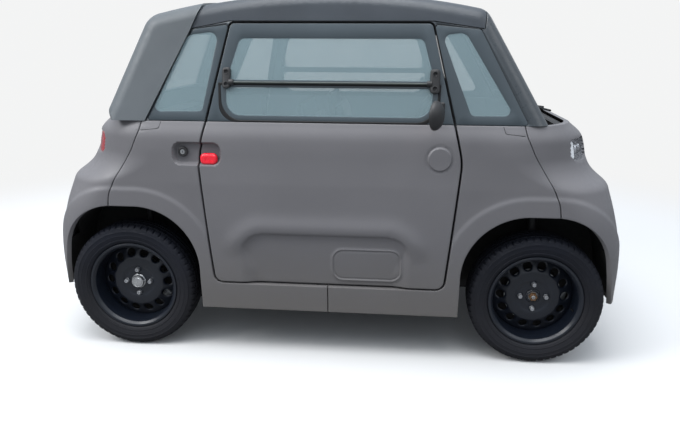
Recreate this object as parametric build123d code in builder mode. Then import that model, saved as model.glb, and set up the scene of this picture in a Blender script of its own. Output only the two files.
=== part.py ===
from build123d import *
import os
from math import cos, hypot, radians, sin, tan

# A two-seat electric city car, built as an assembly. Millimetres.
# Front is +X, left is +Y, the ground is z = 0 and x = 0 is half way between the axles.
# The outer skin is one pair of lofts (lower body, greenhouse); every panel and pane is
# that skin cut along its real shut lines, so the pieces always meet.

os.makedirs("parts", exist_ok=True)

# Lower body.
HALF_LENGTH = 1205.0
HALF_WIDTH = 695.0
SILL_Z = 205.0
CREASE_Z = 755.0
BELT_Z = 1005.0
FASCIA_BOTTOM_Z = 266.0
SIDE_WALL_Y = HALF_WIDTH - 47
BELT_WALL_Y = HALF_WIDTH - 83
WALL_BEND_Z = 850.0
OVERHANG = 341.0
AXLE_X = HALF_LENGTH - OVERHANG
CABIN_HALF_LENGTH = AXLE_X - 29
BUMPER_WALL_X = HALF_LENGTH - 17

# Gaps between panels.
SHUT_GAP = 8.0
SEAM = 3.5
FIT = 0.3

# Greenhouse.
ROOF_Z = 1520.0
SCREEN_BASE_X = HALF_LENGTH - 300
SCREEN_TOP_X = HALF_LENGTH - 573
SCREEN_TOP_Z = 1455.0
CROWN_X = 20.0
TAIL_TOP_X = 453 - HALF_LENGTH
TAIL_TOP_Z = 1424.0
TAIL_BASE_X = 250 - HALF_LENGTH
TAIL_FOOT_X = TAIL_BASE_X + 67
TAIL_TUCK_Z = 1073.0
SCREEN_BULGE = 45.0
SIDE_BELT_Y = HALF_WIDTH - 43
SIDE_LEAN = 0.1947
CORNER_ROUND = 60.0
WALL = 38.0
GLASS = 5.3
GLASS_POCKET = 5.7
TAIL_PROUD = 8.0
BELOW_BELT = 60.0

# Door. The outline is the same forwards and rearwards, so one door serves both sides.
DOOR_TOP_Z = 1385.0
DOOR_BOTTOM_Z = 332.0
DOOR_WIDE_Z = 860.0
ARCH_NEAR_X = AXLE_X - 319
DOOR_TOP_X = ARCH_NEAR_X - 147
DOOR_BELT_X = ARCH_NEAR_X - 53
DOOR_WIDE_X = ARCH_NEAR_X - 19
DOOR_BOTTOM_X = ARCH_NEAR_X - 69
HINGE_X = DOOR_BOTTOM_X - 16
HINGE_Y = 15 - HALF_WIDTH
HINGE_PIN = 4.0
HINGE_EYE = 7.0
HINGE_PLAY = 0.08
HINGE_HEIGHTS = (460.0, 740.0)
HANDLE_RECESS_X = 7 - DOOR_WIDE_X - 14
HANDLE_X = HANDLE_RECESS_X + 47
HANDLE_Z = 855.0
HANDLE_FLOOR_Y = 665.0

# Wheels and running gear.
WHEEL_Y = HALF_WIDTH - 117.5
TYRE_RADIUS = 278.5
TYRE_HALF_WIDTH = 77.5
BEAD_RADIUS = 182.0
BEAD_HALF_WIDTH = 61.7
RIM_RADIUS = 194.5
RIM_HALF_WIDTH = 68.0
VENT_COUNT = 14
VENT_RADIUS = 18.0
VENT_CIRCLE = 133.0
BOLT_COUNT = 4
BOLT_CIRCLE = 54.0
BOLT_HOLE = 7.0
STUB_RADIUS = 17.0
BALL_Y = HALF_WIDTH - 173
BALL_Z = 175.0
BALL_RADIUS = 9.0
STRUT_TOP_Y = HALF_WIDTH - 265
STRUT_TOP_Z = 645.0
ARCH_WALL_Y = HALF_WIDTH - 339
ARCH_TOP_Z = 652.0
ARCH_FAR_X = AXLE_X + 238
ARCH_FOOT_X = AXLE_X + 336
LINER = 4.0
LINER_SET_BACK = 8.0
RAIL_Y = ARCH_WALL_Y - 56
RAIL_BOTTOM_Z = 205.0
RAIL_TOP_Z = 255.0

# Rows of the lower body from the sill up to the crease, then from the crease to the belt.
# Columns: shorter than the half length, narrower than the half width, corner round.
FENDER_ROWS = (
    (2, 23, 150),
    (2, 12, 153),
    (0, 4, 160),
    (3, 0, 180),
    (24, 0, 205),
    (50, 3, 266),
)
SHOULDER_ROWS = (
    (50, 3, 266),
    (105, 7, 320),
    (130, 10, 350),
    (142, 12, 348),
    (167, 18, 315),
    (231, 39, 250),
)

# Hollow behind the fascias. Columns: half length, narrower than the half width, round, top.
FASCIA_HOLLOWS = (
    (BUMPER_WALL_X, 47, 125, 480),
    (HALF_LENGTH - 55, 47, 165, 658),
    (HALF_LENGTH - 105, 55, 200, 740),
    (HALF_LENGTH - 205, 73, 285, 960),
)


def fitted_rounds(rows):
    """Corner rounds of an outline, made smaller where two would meet on one edge."""
    runs = []
    for index, (x, z, bend) in enumerate(rows):
        before = Vector(x - rows[index - 1][0], z - rows[index - 1][1])
        after = Vector(rows[index - len(rows) + 1][0] - x, rows[index - len(rows) + 1][1] - z)
        runs.append(bend * tan(radians(before.get_angle(after) / 2)))
    rounds = []
    for index, (x, z, bend) in enumerate(rows):
        share = 1.0
        for other in (index - 1, index - len(rows) + 1):
            edge = hypot(x - rows[other][0], z - rows[other][1])
            share = min(share, 0.95 * edge / max(runs[index] + runs[other], FIT))
        rounds.append(bend * share)
    return rounds


def outline(rows, grow=0.0):
    """Side view outline through (x, z, round) rows, grown by a gap."""
    with BuildSketch(Plane.XZ) as side:
        with BuildLine():
            Polyline([(x, z) for x, z, bend in rows], close=True)
        make_face()
        for (x, z, bend), fitted in zip(rows, fitted_rounds(rows)):
            if bend:
                fillet(side.vertices().sort_by_distance((x, z, 0))[0], fitted)
        if grow:
            offset(amount=grow, kind=Kind.INTERSECTION, mode=Mode.REPLACE)
    return side.sketch


def lofted(low, high, rows):
    """Rounded rectangles at even heights, smoothed into one solid."""
    with BuildPart() as hull:
        for step, (shorter, narrower, bend) in enumerate(rows):
            z = low + step * (high - low) / (len(rows) - 1)
            with BuildSketch(Plane.XY.offset(z)):
                RectangleRounded(
                    2 * (HALF_LENGTH - shorter), 2 * (HALF_WIDTH - narrower), bend
                )
        loft()
    return hull.part


def greenhouse(inset):
    """Greenhouse block, set in from the outer skin by inset."""
    foot = BELT_Z - (BELOW_BELT if inset > 0 else 0)
    below = (BELT_Z - foot) * (SCREEN_BASE_X - SCREEN_TOP_X) / (SCREEN_TOP_Z - BELT_Z)
    behind = (BELT_Z - foot) * (TAIL_TOP_X - TAIL_BASE_X) / (TAIL_TOP_Z - BELT_Z)
    with BuildPart() as block:
        for step in (-2, -1, 0, 1, 2):
            station = step * (HALF_WIDTH - 15) / 2
            out = (station / 600.0) ** 2
            base = (SCREEN_BASE_X - SCREEN_BULGE * out + below, foot)
            brow = (SCREEN_TOP_X - 30 * out, SCREEN_TOP_Z - 24 * out)
            crown = (CROWN_X, ROOF_Z - 26 * out)
            tail = (TAIL_TOP_X + 12 * out, TAIL_TOP_Z - 22 * out)
            rear = (TAIL_BASE_X + 25 * out - behind, foot)
            with BuildSketch(Plane.XZ.offset(-station)) as side:
                with BuildLine():
                    Line(rear, base)
                    Line(base, brow)
                    ThreePointArc(brow, crown, tail)
                    Line(tail, rear)
                make_face()
                fillet(side.vertices().sort_by_distance((*brow, 0))[0], 70)
                fillet(side.vertices().sort_by_distance((*tail, 0))[0], 90)
                if inset:
                    offset(amount=-inset, kind=Kind.INTERSECTION, mode=Mode.REPLACE)
        loft()
        rise = ROOF_Z + 40 - BELT_Z
        low_y = SIDE_BELT_Y + SIDE_LEAN * BELOW_BELT - inset
        high_y = SIDE_BELT_Y - SIDE_LEAN * rise - inset
        with BuildSketch(Plane.YZ):
            Polygon(
                (-low_y, BELT_Z - BELOW_BELT),
                (low_y, BELT_Z - BELOW_BELT),
                (high_y, BELT_Z + rise),
                (-high_y, BELT_Z + rise),
                align=None,
            )
        extrude(amount=1200, both=True, mode=Mode.INTERSECT)
        if CORNER_ROUND - inset > 5:
            sides = [face for face in block.faces() if abs(face.normal_at().Y) > 0.9]
            bottom = block.part.bounding_box().min.Z + 5
            rails = [
                edge for face in sides for edge in face.edges() if edge.center().Z > bottom
            ]
            fillet(rails, CORNER_ROUND - inset)
    return block.part


def skin_y(z):
    """How far out the greenhouse side lies at a height."""
    return SIDE_BELT_Y - SIDE_LEAN * (z - BELT_Z)


def side_block(shape, near, far):
    """A side outline pulled along Y between two distances on the right side."""
    block = extrude(shape, amount=far, mode=Mode.PRIVATE)
    if near:
        block = block - extrude(shape, amount=near, mode=Mode.PRIVATE)
    return block


def cross_block(shape):
    """A side outline pulled right across the car."""
    return extrude(shape, amount=800, both=True, mode=Mode.PRIVATE)


def right_and_left(shape):
    """The right side piece and its twin on the left, as one group."""
    return [shape, mirror(shape, about=Plane.XZ, mode=Mode.PRIVATE)]


def front_and_rear(shape):
    """The front piece and its twin at the rear, as one group."""
    return [shape, mirror(shape, about=Plane.YZ, mode=Mode.PRIVATE)]


DOOR_OUTLINE = (
    (DOOR_TOP_X, DOOR_TOP_Z, 18),
    (DOOR_BELT_X, BELT_Z, 60),
    (DOOR_WIDE_X, DOOR_WIDE_Z, 250),
    (DOOR_BOTTOM_X, DOOR_BOTTOM_Z, 35),
    (-DOOR_BOTTOM_X, DOOR_BOTTOM_Z, 35),
    (-DOOR_WIDE_X, DOOR_WIDE_Z, 250),
    (-DOOR_BELT_X, BELT_Z, 60),
    (-DOOR_TOP_X, DOOR_TOP_Z, 18),
)
ARCH_OUTLINE = (
    (ARCH_NEAR_X, 150, 0),
    (ARCH_NEAR_X, ARCH_TOP_Z, 270),
    (ARCH_FAR_X, ARCH_TOP_Z, 235),
    (ARCH_FOOT_X, 150, 0),
)
# Wheel side of the liners, set back behind the arch's edge at its outer end.
LINER_OUTLINE = (
    (ARCH_NEAR_X, 150, 0),
    (ARCH_NEAR_X, ARCH_TOP_Z, 270),
    (ARCH_FAR_X + LINER_SET_BACK, ARCH_TOP_Z, 235),
    (ARCH_FOOT_X + LINER_SET_BACK, 150, 0),
)
# Seam between wing and fascia, from the belt down into the arch, then round the fascia.
FASCIA_OUTLINE = (
    (AXLE_X - 99, 1010, 0),
    (AXLE_X - 89, 965, 120),
    (AXLE_X - 52, 888, 200),
    (AXLE_X + 26, 765, 250),
    (AXLE_X + 53, 700, 120),
    (AXLE_X + 63, 600, 0),
    (AXLE_X + 63, FASCIA_BOTTOM_Z, 0),
    (HALF_LENGTH + 95, FASCIA_BOTTOM_Z, 0),
    (HALF_LENGTH + 95, 1010, 0),
)
ROOF_END_X = TAIL_TOP_X + 233
ROOF_OUTLINE = (
    (SCREEN_TOP_X - 36, 1368, 0),
    (DOOR_TOP_X + 6, 1396, 0),
    (-DOOR_TOP_X - 6, 1396, 0),
    (TAIL_TOP_X + 196, 1367, 0),
    (ROOF_END_X, 1452, 0),
    (ROOF_END_X, 1560, 0),
    (SCREEN_TOP_X - 26, 1560, 0),
    (SCREEN_TOP_X - 29, 1425, 0),
)
TAIL_FRONT = (
    (TAIL_BASE_X + 206, BELT_Z + FIT, 0),
    (TAIL_TOP_X + 193, 1364, 0),
    (ROOF_END_X - FIT, 1452, 0),
    (ROOF_END_X - FIT, 1560, 0),
    (TAIL_BASE_X - 145, 1560, 0),
)
TAIL_SPACE = TAIL_FRONT + ((TAIL_BASE_X - 145, BELT_Z + FIT, 0),)
# The tail panel's foot is cut in below the rear window.
TAIL_OUTLINE = TAIL_FRONT + (
    (TAIL_BASE_X - 145, 1356, 0),
    (TAIL_FOOT_X, BELT_Z + FIT, 0),
)
TAIL_HOLLOW = (
    (HALF_LENGTH, 900, 0),
    (HALF_LENGTH, 1560, 0),
    (TAIL_BASE_X - 101, 1560, 0),
    (TAIL_BASE_X - 101, 1356, 0),
    (TAIL_FOOT_X + 44, BELT_Z, 0),
    (TAIL_FOOT_X + 44, 900, 0),
)
FRONT_QUARTER = (
    (DOOR_BELT_X + 10, BELT_Z + 2, 8),
    (DOOR_TOP_X + 9, 1381, 10),
    (SCREEN_TOP_X - 49, 1364, 14),
    (SCREEN_BASE_X - 127, BELT_Z + 2, 8),
)
FRONT_QUARTER_CLEAR = (
    (DOOR_BELT_X + 65, 1040, 22),
    (DOOR_TOP_X + 38, 1343, 25),
    (SCREEN_TOP_X - 107, 1352, 40),
    (SCREEN_BASE_X - 183, 1041, 22),
)
REAR_QUARTER = (
    (-DOOR_BELT_X - 10, BELT_Z + 2, 8),
    (-DOOR_TOP_X - 9, 1381, 10),
    (TAIL_TOP_X + 200, 1362, 14),
    (TAIL_BASE_X + 213, BELT_Z + 2, 8),
)
REAR_QUARTER_CLEAR = (
    (-DOOR_BELT_X - 20, 1044, 22),
    (-DOOR_TOP_X - 47, 1356, 30),
    (TAIL_TOP_X + 180, 1340, 40),
    (TAIL_BASE_X + 235, 1041, 22),
)
SCREEN_OUTLINE = (
    (SCREEN_BASE_X - 39, BELT_Z + 2, 0),
    (SCREEN_TOP_X - 20, 1425, 0),
    (SCREEN_TOP_X - 20, 1560, 0),
    (SCREEN_BASE_X + 95, 1560, 0),
    (SCREEN_BASE_X + 95, BELT_Z + 2, 0),
)
FLAP_OUTLINE = (
    (54 - DOOR_BELT_X, 1150, 0),
    (DOOR_BELT_X - 62, 1150, 0),
    (DOOR_BELT_X - 68, BELT_Z + 5, 75),
    (60 - DOOR_BELT_X, BELT_Z + 5, 75),
)
DOOR_CLEAR = (
    (38 - DOOR_TOP_X, 1328, 26),
    (DOOR_TOP_X - 32, 1328, 26),
    (DOOR_BELT_X - 80, 1168, 14),
    (80 - DOOR_BELT_X, 1168, 14),
)
FLAP_CLEAR = (
    (77 - DOOR_BELT_X, 1140, 14),
    (DOOR_BELT_X - 85, 1140, 14),
    (DOOR_BELT_X - 90, 1030, 60),
    (82 - DOOR_BELT_X, 1030, 60),
)

# Outer skin and its hollow.
fender_block = lofted(SILL_Z, CREASE_Z, FENDER_ROWS)
shoulder_block = lofted(CREASE_Z, BELT_Z, SHOULDER_ROWS)

with BuildPart() as hollow:
    with BuildSketch(Plane.YZ):
        Polygon(
            (-SIDE_WALL_Y, 150),
            (SIDE_WALL_Y, 150),
            (SIDE_WALL_Y, WALL_BEND_Z),
            (BELT_WALL_Y, BELT_Z + 1),
            (-BELT_WALL_Y, BELT_Z + 1),
            (-SIDE_WALL_Y, WALL_BEND_Z),
            align=None,
        )
    extrude(amount=CABIN_HALF_LENGTH, both=True)
    for half_length, narrower, bend, top in FASCIA_HOLLOWS:
        with BuildSketch(Plane.XY.offset(150)):
            RectangleRounded(2 * half_length, 2 * (HALF_WIDTH - narrower), bend)
        extrude(amount=top - 150)

with BuildPart() as lower_body:
    add(fender_block)
    add(shoulder_block)

door_shape = outline(DOOR_OUTLINE)
door_hole = side_block(outline(DOOR_OUTLINE, SHUT_GAP), 0, 800)
arch_hole = side_block(outline(ARCH_OUTLINE), ARCH_WALL_Y, 800)

with BuildPart() as lower_shell:
    add(lower_body.part)
    add(hollow.part, mode=Mode.SUBTRACT)
    for hole in right_and_left(door_hole):
        add(hole, mode=Mode.SUBTRACT)
    for arch in front_and_rear(arch_hole):
        for hole in right_and_left(arch):
            add(hole, mode=Mode.SUBTRACT)

# Handle recess, shared by the door and the wing behind it; the left one is turned half round.
with BuildPart() as handle_recess:
    with BuildSketch(Plane.XZ.offset(HANDLE_FLOOR_Y)):
        with Locations((HANDLE_RECESS_X, HANDLE_Z + 22)):
            RectangleRounded(204, 96, 36)
    extrude(amount=60, taper=-25)

# Wings: half sill, door post and wheel arch in one moulding, four of them.
fascia_block = side_block(outline(FASCIA_OUTLINE, SEAM), 0, 800)
with BuildPart() as wing_blank:
    add(lower_shell.part)
    with Locations((HALF_LENGTH / 2 + SEAM / 2, -400, 600)):
        Box(HALF_LENGTH, 800, 1000, mode=Mode.INTERSECT)
    add(fascia_block, mode=Mode.SUBTRACT)
    with Locations((HALF_LENGTH, -400, 300)):
        Box(600, 800, 600, mode=Mode.SUBTRACT)
    mirror(about=Plane.XZ)

with BuildPart() as front_wings:
    add(wing_blank.part)
    add(Rot(0, 0, 180) * handle_recess.part, mode=Mode.SUBTRACT)
front_wings.part.label = "front_wings"
export_step(front_wings.part, "parts/front_wings.step")

with BuildPart() as rear_wings:
    mirror(wing_blank.part, about=Plane.YZ)
    add(handle_recess.part, mode=Mode.SUBTRACT)
rear_wings.part.label = "rear_wings"
export_step(rear_wings.part, "parts/rear_wings.step")

# Fascias: bumper and lamp pods in one moulding, the same at both ends.
PLATE_WIDTH = 340.0
PLATE_HEIGHT = 110.0
PLATE_Z = 520.0
PLATE_POCKET_X = HALF_LENGTH - 9
PLATE_THICK = 2.0
LAMP_Y = HALF_WIDTH - 195
LAMP_Z = 900.0
LAMP_WIDTH = 150.0
LAMP_HEIGHT = 80.0
LAMP_ROUND = 30.0
LAMP_SET_BACK = 7.0
LAMP_THICK = 24.0
LAMP_FLOOR_X = HALF_LENGTH - 305
COWL_NEAR_X = SCREEN_BASE_X + 7
COWL_FAR_X = COWL_NEAR_X + 44
COWL_HALF_WIDTH = HALF_WIDTH - 205
COWL_DEPTH = 26.0
COWL_ROUND = 20.0

with BuildPart() as fascia_blank:
    add(lower_shell.part)
    add(cross_block(outline(FASCIA_OUTLINE)), mode=Mode.INTERSECT)
    with BuildSketch(Plane.YZ.offset(PLATE_POCKET_X)):
        with Locations((0, PLATE_Z)):
            RectangleRounded(PLATE_WIDTH + 12, PLATE_HEIGHT + 12, 8)
    extrude(amount=60, mode=Mode.SUBTRACT)
    with BuildSketch(Plane.YZ.offset(LAMP_FLOOR_X)):
        with Locations((LAMP_Y, LAMP_Z), (-LAMP_Y, LAMP_Z)):
            RectangleRounded(LAMP_WIDTH, LAMP_HEIGHT, LAMP_ROUND)
    extrude(amount=300, mode=Mode.SUBTRACT)

with BuildPart() as front_fascia:
    add(fascia_blank.part)
    with BuildSketch(Plane.XY.offset(BELT_Z - COWL_DEPTH)):
        with Locations(((COWL_NEAR_X + COWL_FAR_X) / 2, 0)):
            RectangleRounded(COWL_FAR_X - COWL_NEAR_X, 2 * COWL_HALF_WIDTH, COWL_ROUND)
    extrude(amount=2 * COWL_DEPTH, mode=Mode.SUBTRACT)
front_fascia.part.label = "front_fascia"
export_step(front_fascia.part, "parts/front_fascia.step")

with BuildPart() as rear_fascia:
    mirror(fascia_blank.part, about=Plane.YZ)
rear_fascia.part.label = "rear_fascia"
export_step(rear_fascia.part, "parts/rear_fascia.step")

with BuildPart() as lamps:
    with BuildSketch(Plane.YZ.offset(LAMP_FLOOR_X + FIT)):
        with Locations((LAMP_Y, LAMP_Z), (-LAMP_Y, LAMP_Z)):
            RectangleRounded(LAMP_WIDTH - 2 * FIT, LAMP_HEIGHT - 2 * FIT, LAMP_ROUND - FIT)
    extrude(amount=300)
    add(Pos(-LAMP_SET_BACK, 0, 0) * shoulder_block, mode=Mode.INTERSECT)
    add(Pos(-LAMP_SET_BACK - LAMP_THICK, 0, 0) * shoulder_block, mode=Mode.SUBTRACT)
lamps.part.label = "headlamps"
export_step(lamps.part, "parts/headlamps.step")

with BuildPart() as rear_lamps:
    mirror(lamps.part, about=Plane.YZ)
rear_lamps.part.label = "rear_lamps"
export_step(rear_lamps.part, "parts/rear_lamps.step")

with BuildPart() as number_plates:
    with BuildSketch(Plane.YZ.offset(PLATE_POCKET_X + FIT)):
        with Locations((0, PLATE_Z)):
            RectangleRounded(PLATE_WIDTH, PLATE_HEIGHT, 5)
    extrude(amount=PLATE_THICK)
    mirror(about=Plane.YZ)
number_plates.part.label = "number_plates"
export_step(number_plates.part, "parts/number_plates.step")

with BuildPart() as cowl_panel:
    with BuildSketch(Plane.XY.offset(BELT_Z - COWL_DEPTH + FIT)):
        with Locations(((COWL_NEAR_X + COWL_FAR_X) / 2, 0)):
            RectangleRounded(
                COWL_FAR_X - COWL_NEAR_X - 2 * FIT, 2 * (COWL_HALF_WIDTH - FIT), COWL_ROUND - FIT
            )
    extrude(amount=12)
cowl_panel.part.label = "cowl_panel"
export_step(cowl_panel.part, "parts/cowl_panel.step")

# Greenhouse shell and the thin outer layer that the panes are cut from.
outer = greenhouse(0)
with BuildPart() as inner_space:
    add(greenhouse(WALL))
    add(cross_block(outline(TAIL_HOLLOW)), mode=Mode.INTERSECT)
inner = inner_space.part
with BuildPart() as green_shell:
    add(outer)
    add(inner, mode=Mode.SUBTRACT)
with BuildPart() as glass_skin:
    add(outer)
    add(greenhouse(GLASS), mode=Mode.SUBTRACT)
with BuildPart() as glass_pocket:
    add(outer)
    add(greenhouse(GLASS_POCKET), mode=Mode.SUBTRACT)

front_quarter = side_block(outline(FRONT_QUARTER), 300, 800)
rear_quarter = side_block(outline(REAR_QUARTER), 300, 800)
screen_side = cross_block(outline(SCREEN_OUTLINE))

with BuildPart() as windscreen:
    add(glass_skin.part)
    add(screen_side, mode=Mode.INTERSECT)
    with Locations((0, 0, 1440 + 100)):
        Box(3000, 3000, 200, mode=Mode.SUBTRACT)
windscreen.part.label = "windscreen"
export_step(windscreen.part, "parts/windscreen.step")

with BuildPart() as quarter_windows:
    for pane in right_and_left(front_quarter) + right_and_left(rear_quarter):
        add(glass_skin.part & pane)
quarter_windows.part.label = "quarter_windows"
export_step(quarter_windows.part, "parts/quarter_windows.step")

roof_block = cross_block(outline(ROOF_OUTLINE))
with BuildPart() as screen_opening:
    low_y = SIDE_BELT_Y - 92
    high_y = SIDE_BELT_Y - 172
    with BuildSketch(Plane.YZ.offset(DOOR_TOP_X + 2)):
        with BuildLine():
            Polyline((-low_y, 1060), (low_y, 1060), (high_y, 1395), (-high_y, 1395), close=True)
        make_face()
    extrude(amount=700)

ROOF_GLASS_LENGTH = 2 * (DOOR_TOP_X + 52)
ROOF_GLASS_WIDTH = 2 * (HALF_WIDTH - 265)
ROOF_GLASS_ROUND = 60.0
with BuildPart() as roof_hole:
    with BuildSketch(Plane.XY.offset(1440)):
        with Locations((10, 0)):
            RectangleRounded(ROOF_GLASS_LENGTH, ROOF_GLASS_WIDTH, ROOF_GLASS_ROUND)
    extrude(amount=100)

with BuildPart() as roof_panel:
    add(green_shell.part)
    add(roof_block, mode=Mode.INTERSECT)
    add(roof_hole.part, mode=Mode.SUBTRACT)
roof_panel.part.label = "roof_panel"
export_step(roof_panel.part, "parts/roof_panel.step")

with BuildPart() as roof_glass:
    add(glass_skin.part)
    with BuildSketch(Plane.XY.offset(1440)):
        with Locations((10, 0)):
            RectangleRounded(
                ROOF_GLASS_LENGTH - 2 * FIT, ROOF_GLASS_WIDTH - 2 * FIT, ROOF_GLASS_ROUND - FIT
            )
    extrude(amount=100, mode=Mode.INTERSECT)
roof_glass.part.label = "roof_glass"
export_step(roof_glass.part, "parts/roof_glass.step")

clear_holes = []
for pane, clear in (
    (FRONT_QUARTER, FRONT_QUARTER_CLEAR),
    (REAR_QUARTER, REAR_QUARTER_CLEAR),
):
    clear_holes += right_and_left(glass_pocket.part & side_block(outline(pane, 1.5), 300, 800))
    clear_holes += right_and_left(side_block(outline(clear), 300, 800))
with BuildPart() as pillar_frame:
    add(green_shell.part)
    for panel in (ROOF_OUTLINE, TAIL_SPACE):
        add(cross_block(outline(panel, FIT)), mode=Mode.SUBTRACT)
        add(glass_pocket.part & cross_block(outline(panel, SEAM)), mode=Mode.SUBTRACT)
    for hole in right_and_left(door_hole) + clear_holes:
        add(hole, mode=Mode.SUBTRACT)
    add(glass_pocket.part & cross_block(outline(SCREEN_OUTLINE, 1.5)), mode=Mode.SUBTRACT)
    add(screen_opening.part, mode=Mode.SUBTRACT)
    with Locations((0, 0, BELT_Z - 100 + FIT)):
        Box(3000, 2000, 200, mode=Mode.SUBTRACT)
pillar_frame.part.label = "pillar_frame"
export_step(pillar_frame.part, "parts/pillar_frame.step")

with BuildPart() as tail_opening:
    low_y = SIDE_BELT_Y - 135
    high_y = SIDE_BELT_Y - 212
    with BuildSketch(Plane.YZ.offset(TAIL_BASE_X - 145)):
        with BuildLine():
            Polyline(
                (-low_y, TAIL_TUCK_Z), (low_y, TAIL_TUCK_Z), (high_y, 1345), (-high_y, 1345), close=True
            )
        make_face()
    extrude(amount=500)

with BuildPart() as rear_pillar_panel:
    add(greenhouse(-TAIL_PROUD))
    add(inner, mode=Mode.SUBTRACT)
    add(cross_block(outline(TAIL_OUTLINE)), mode=Mode.INTERSECT)
    add(tail_opening.part, mode=Mode.SUBTRACT)
rear_pillar_panel.part.label = "rear_pillar_panel"
export_step(rear_pillar_panel.part, "parts/rear_pillar_panel.step")

with BuildPart() as rear_window:
    add(glass_skin.part)
    with BuildSketch(Plane.YZ.offset(TAIL_BASE_X - 145)):
        with BuildLine():
            Polyline(
                (FIT - low_y, TAIL_TUCK_Z + FIT),
                (low_y - FIT, TAIL_TUCK_Z + FIT),
                (high_y - FIT, 1345 - FIT),
                (FIT - high_y, 1345 - FIT),
                close=True,
            )
        make_face()
    extrude(amount=500, mode=Mode.INTERSECT)
rear_window.part.label = "rear_window"
export_step(rear_window.part, "parts/rear_window.step")

# Doors. The right door is drawn; the left one is the same door turned half round.
with BuildPart() as door_blank:
    add(lower_body.part)
    add(side_block(door_shape, 0, 800), mode=Mode.INTERSECT)
    add(hollow.part, mode=Mode.SUBTRACT)
    with Locations((0, 0, BELT_Z - FIT + 100)):
        Box(1400, 1600, 200, mode=Mode.SUBTRACT)

# Pressed forms of the door: a scoop that runs out at its lower edge with a raised field in
# it, and a raised round plug at the front.
SCOOP_FLOOR_Y = HALF_WIDTH - 12
SCOOP_TOP_Z = 557.0
SCOOP_HALF_LENGTH = DOOR_BOTTOM_X - 121
FIELD_RISE = 3.0
PLUG_RADIUS = 48.0
with BuildPart() as scoop:
    with BuildSketch(Plane.XZ.offset(SCOOP_FLOOR_Y)):
        with Locations((-12, (SCOOP_TOP_Z + 107) / 2)):
            RectangleRounded(2 * SCOOP_HALF_LENGTH, SCOOP_TOP_Z - 107, 105)
    extrude(amount=30, taper=-45)
with BuildPart() as door_field:
    with BuildSketch(Plane.XZ.offset(SCOOP_FLOOR_Y - 2)):
        with Locations((162, 424)):
            RectangleRounded(296, 150, 32)
    extrude(amount=FIELD_RISE + 2)
with BuildPart() as door_plug:
    with Locations(Location((DOOR_BOTTOM_X - 34, -HALF_WIDTH, 874), (90, 0, 0))):
        Cylinder(PLUG_RADIUS, 60)
    add(Pos(0, -FIELD_RISE, 0) * shoulder_block, mode=Mode.INTERSECT)

with BuildPart() as right_door_panel:
    add(door_blank.part)
    add(scoop.part, mode=Mode.SUBTRACT)
    add(door_field.part)
    add(door_plug.part)
    add(handle_recess.part, mode=Mode.SUBTRACT)
    for height in HINGE_HEIGHTS:
        with Locations((HINGE_X + 40, HINGE_Y + 40, height)):
            Box(108, 95, 56, mode=Mode.SUBTRACT)
        with Locations((HINGE_X, HINGE_Y, height)):
            Cylinder(HINGE_PIN, 60)
right_door_panel.part.label = "right_door_panel"
export_step(right_door_panel.part, "parts/right_door_panel.step")

with BuildPart() as right_door_frame:
    add(green_shell.part)
    add(side_block(door_shape, 0, 800), mode=Mode.INTERSECT)
    add(glass_pocket.part, mode=Mode.SUBTRACT)
    add(side_block(outline(DOOR_CLEAR), 300, 800), mode=Mode.SUBTRACT)
    add(side_block(outline(FLAP_CLEAR), 300, 800), mode=Mode.SUBTRACT)
right_door_frame.part.label = "right_door_frame"
export_step(right_door_frame.part, "parts/right_door_frame.step")

flap_gap = side_block(outline(FLAP_OUTLINE, SEAM), 300, 800)
flap_block = side_block(outline(FLAP_OUTLINE), 300, 800)
with BuildPart() as right_door_windows:
    add(glass_skin.part)
    add(side_block(door_shape, 0, 800), mode=Mode.INTERSECT)
    with Locations((0, 0, BELT_Z + 2 - 100)):
        Box(1400, 1600, 200, mode=Mode.SUBTRACT)
    add(flap_gap, mode=Mode.SUBTRACT)
    add(glass_skin.part & flap_block)
right_door_windows.part.label = "right_door_windows"
export_step(right_door_windows.part, "parts/right_door_windows.step")

# Hinge bar of the window flap, lying on the glass with an end pod at each side.
BAR_Z = 1160.0
BAR_RADIUS = 7.0
POD_THICK = 16.0
# Columns: x, z, width, height.
PODS = (
    (81 - DOOR_BELT_X, BAR_Z + 16.5, 33, 81),
    (DOOR_BELT_X - 79, BAR_Z + 9.5, 38, 91),
)
with BuildPart() as right_flap_bar:
    with Locations(Location((0, -skin_y(BAR_Z) - BAR_RADIUS - FIT, BAR_Z), (0, 90, 0))):
        Cylinder(BAR_RADIUS, PODS[1][0] - PODS[0][0])
    for x, z, width, height in PODS:
        on_glass = Plane(origin=(x, -skin_y(z) - 2, z), x_dir=(1, 0, 0), z_dir=(0, -1, SIDE_LEAN))
        with BuildSketch(on_glass):
            RectangleRounded(width, height, 10)
        extrude(amount=POD_THICK)
right_flap_bar.part.label = "right_flap_bar"
export_step(right_flap_bar.part, "parts/right_flap_bar.step")

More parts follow.
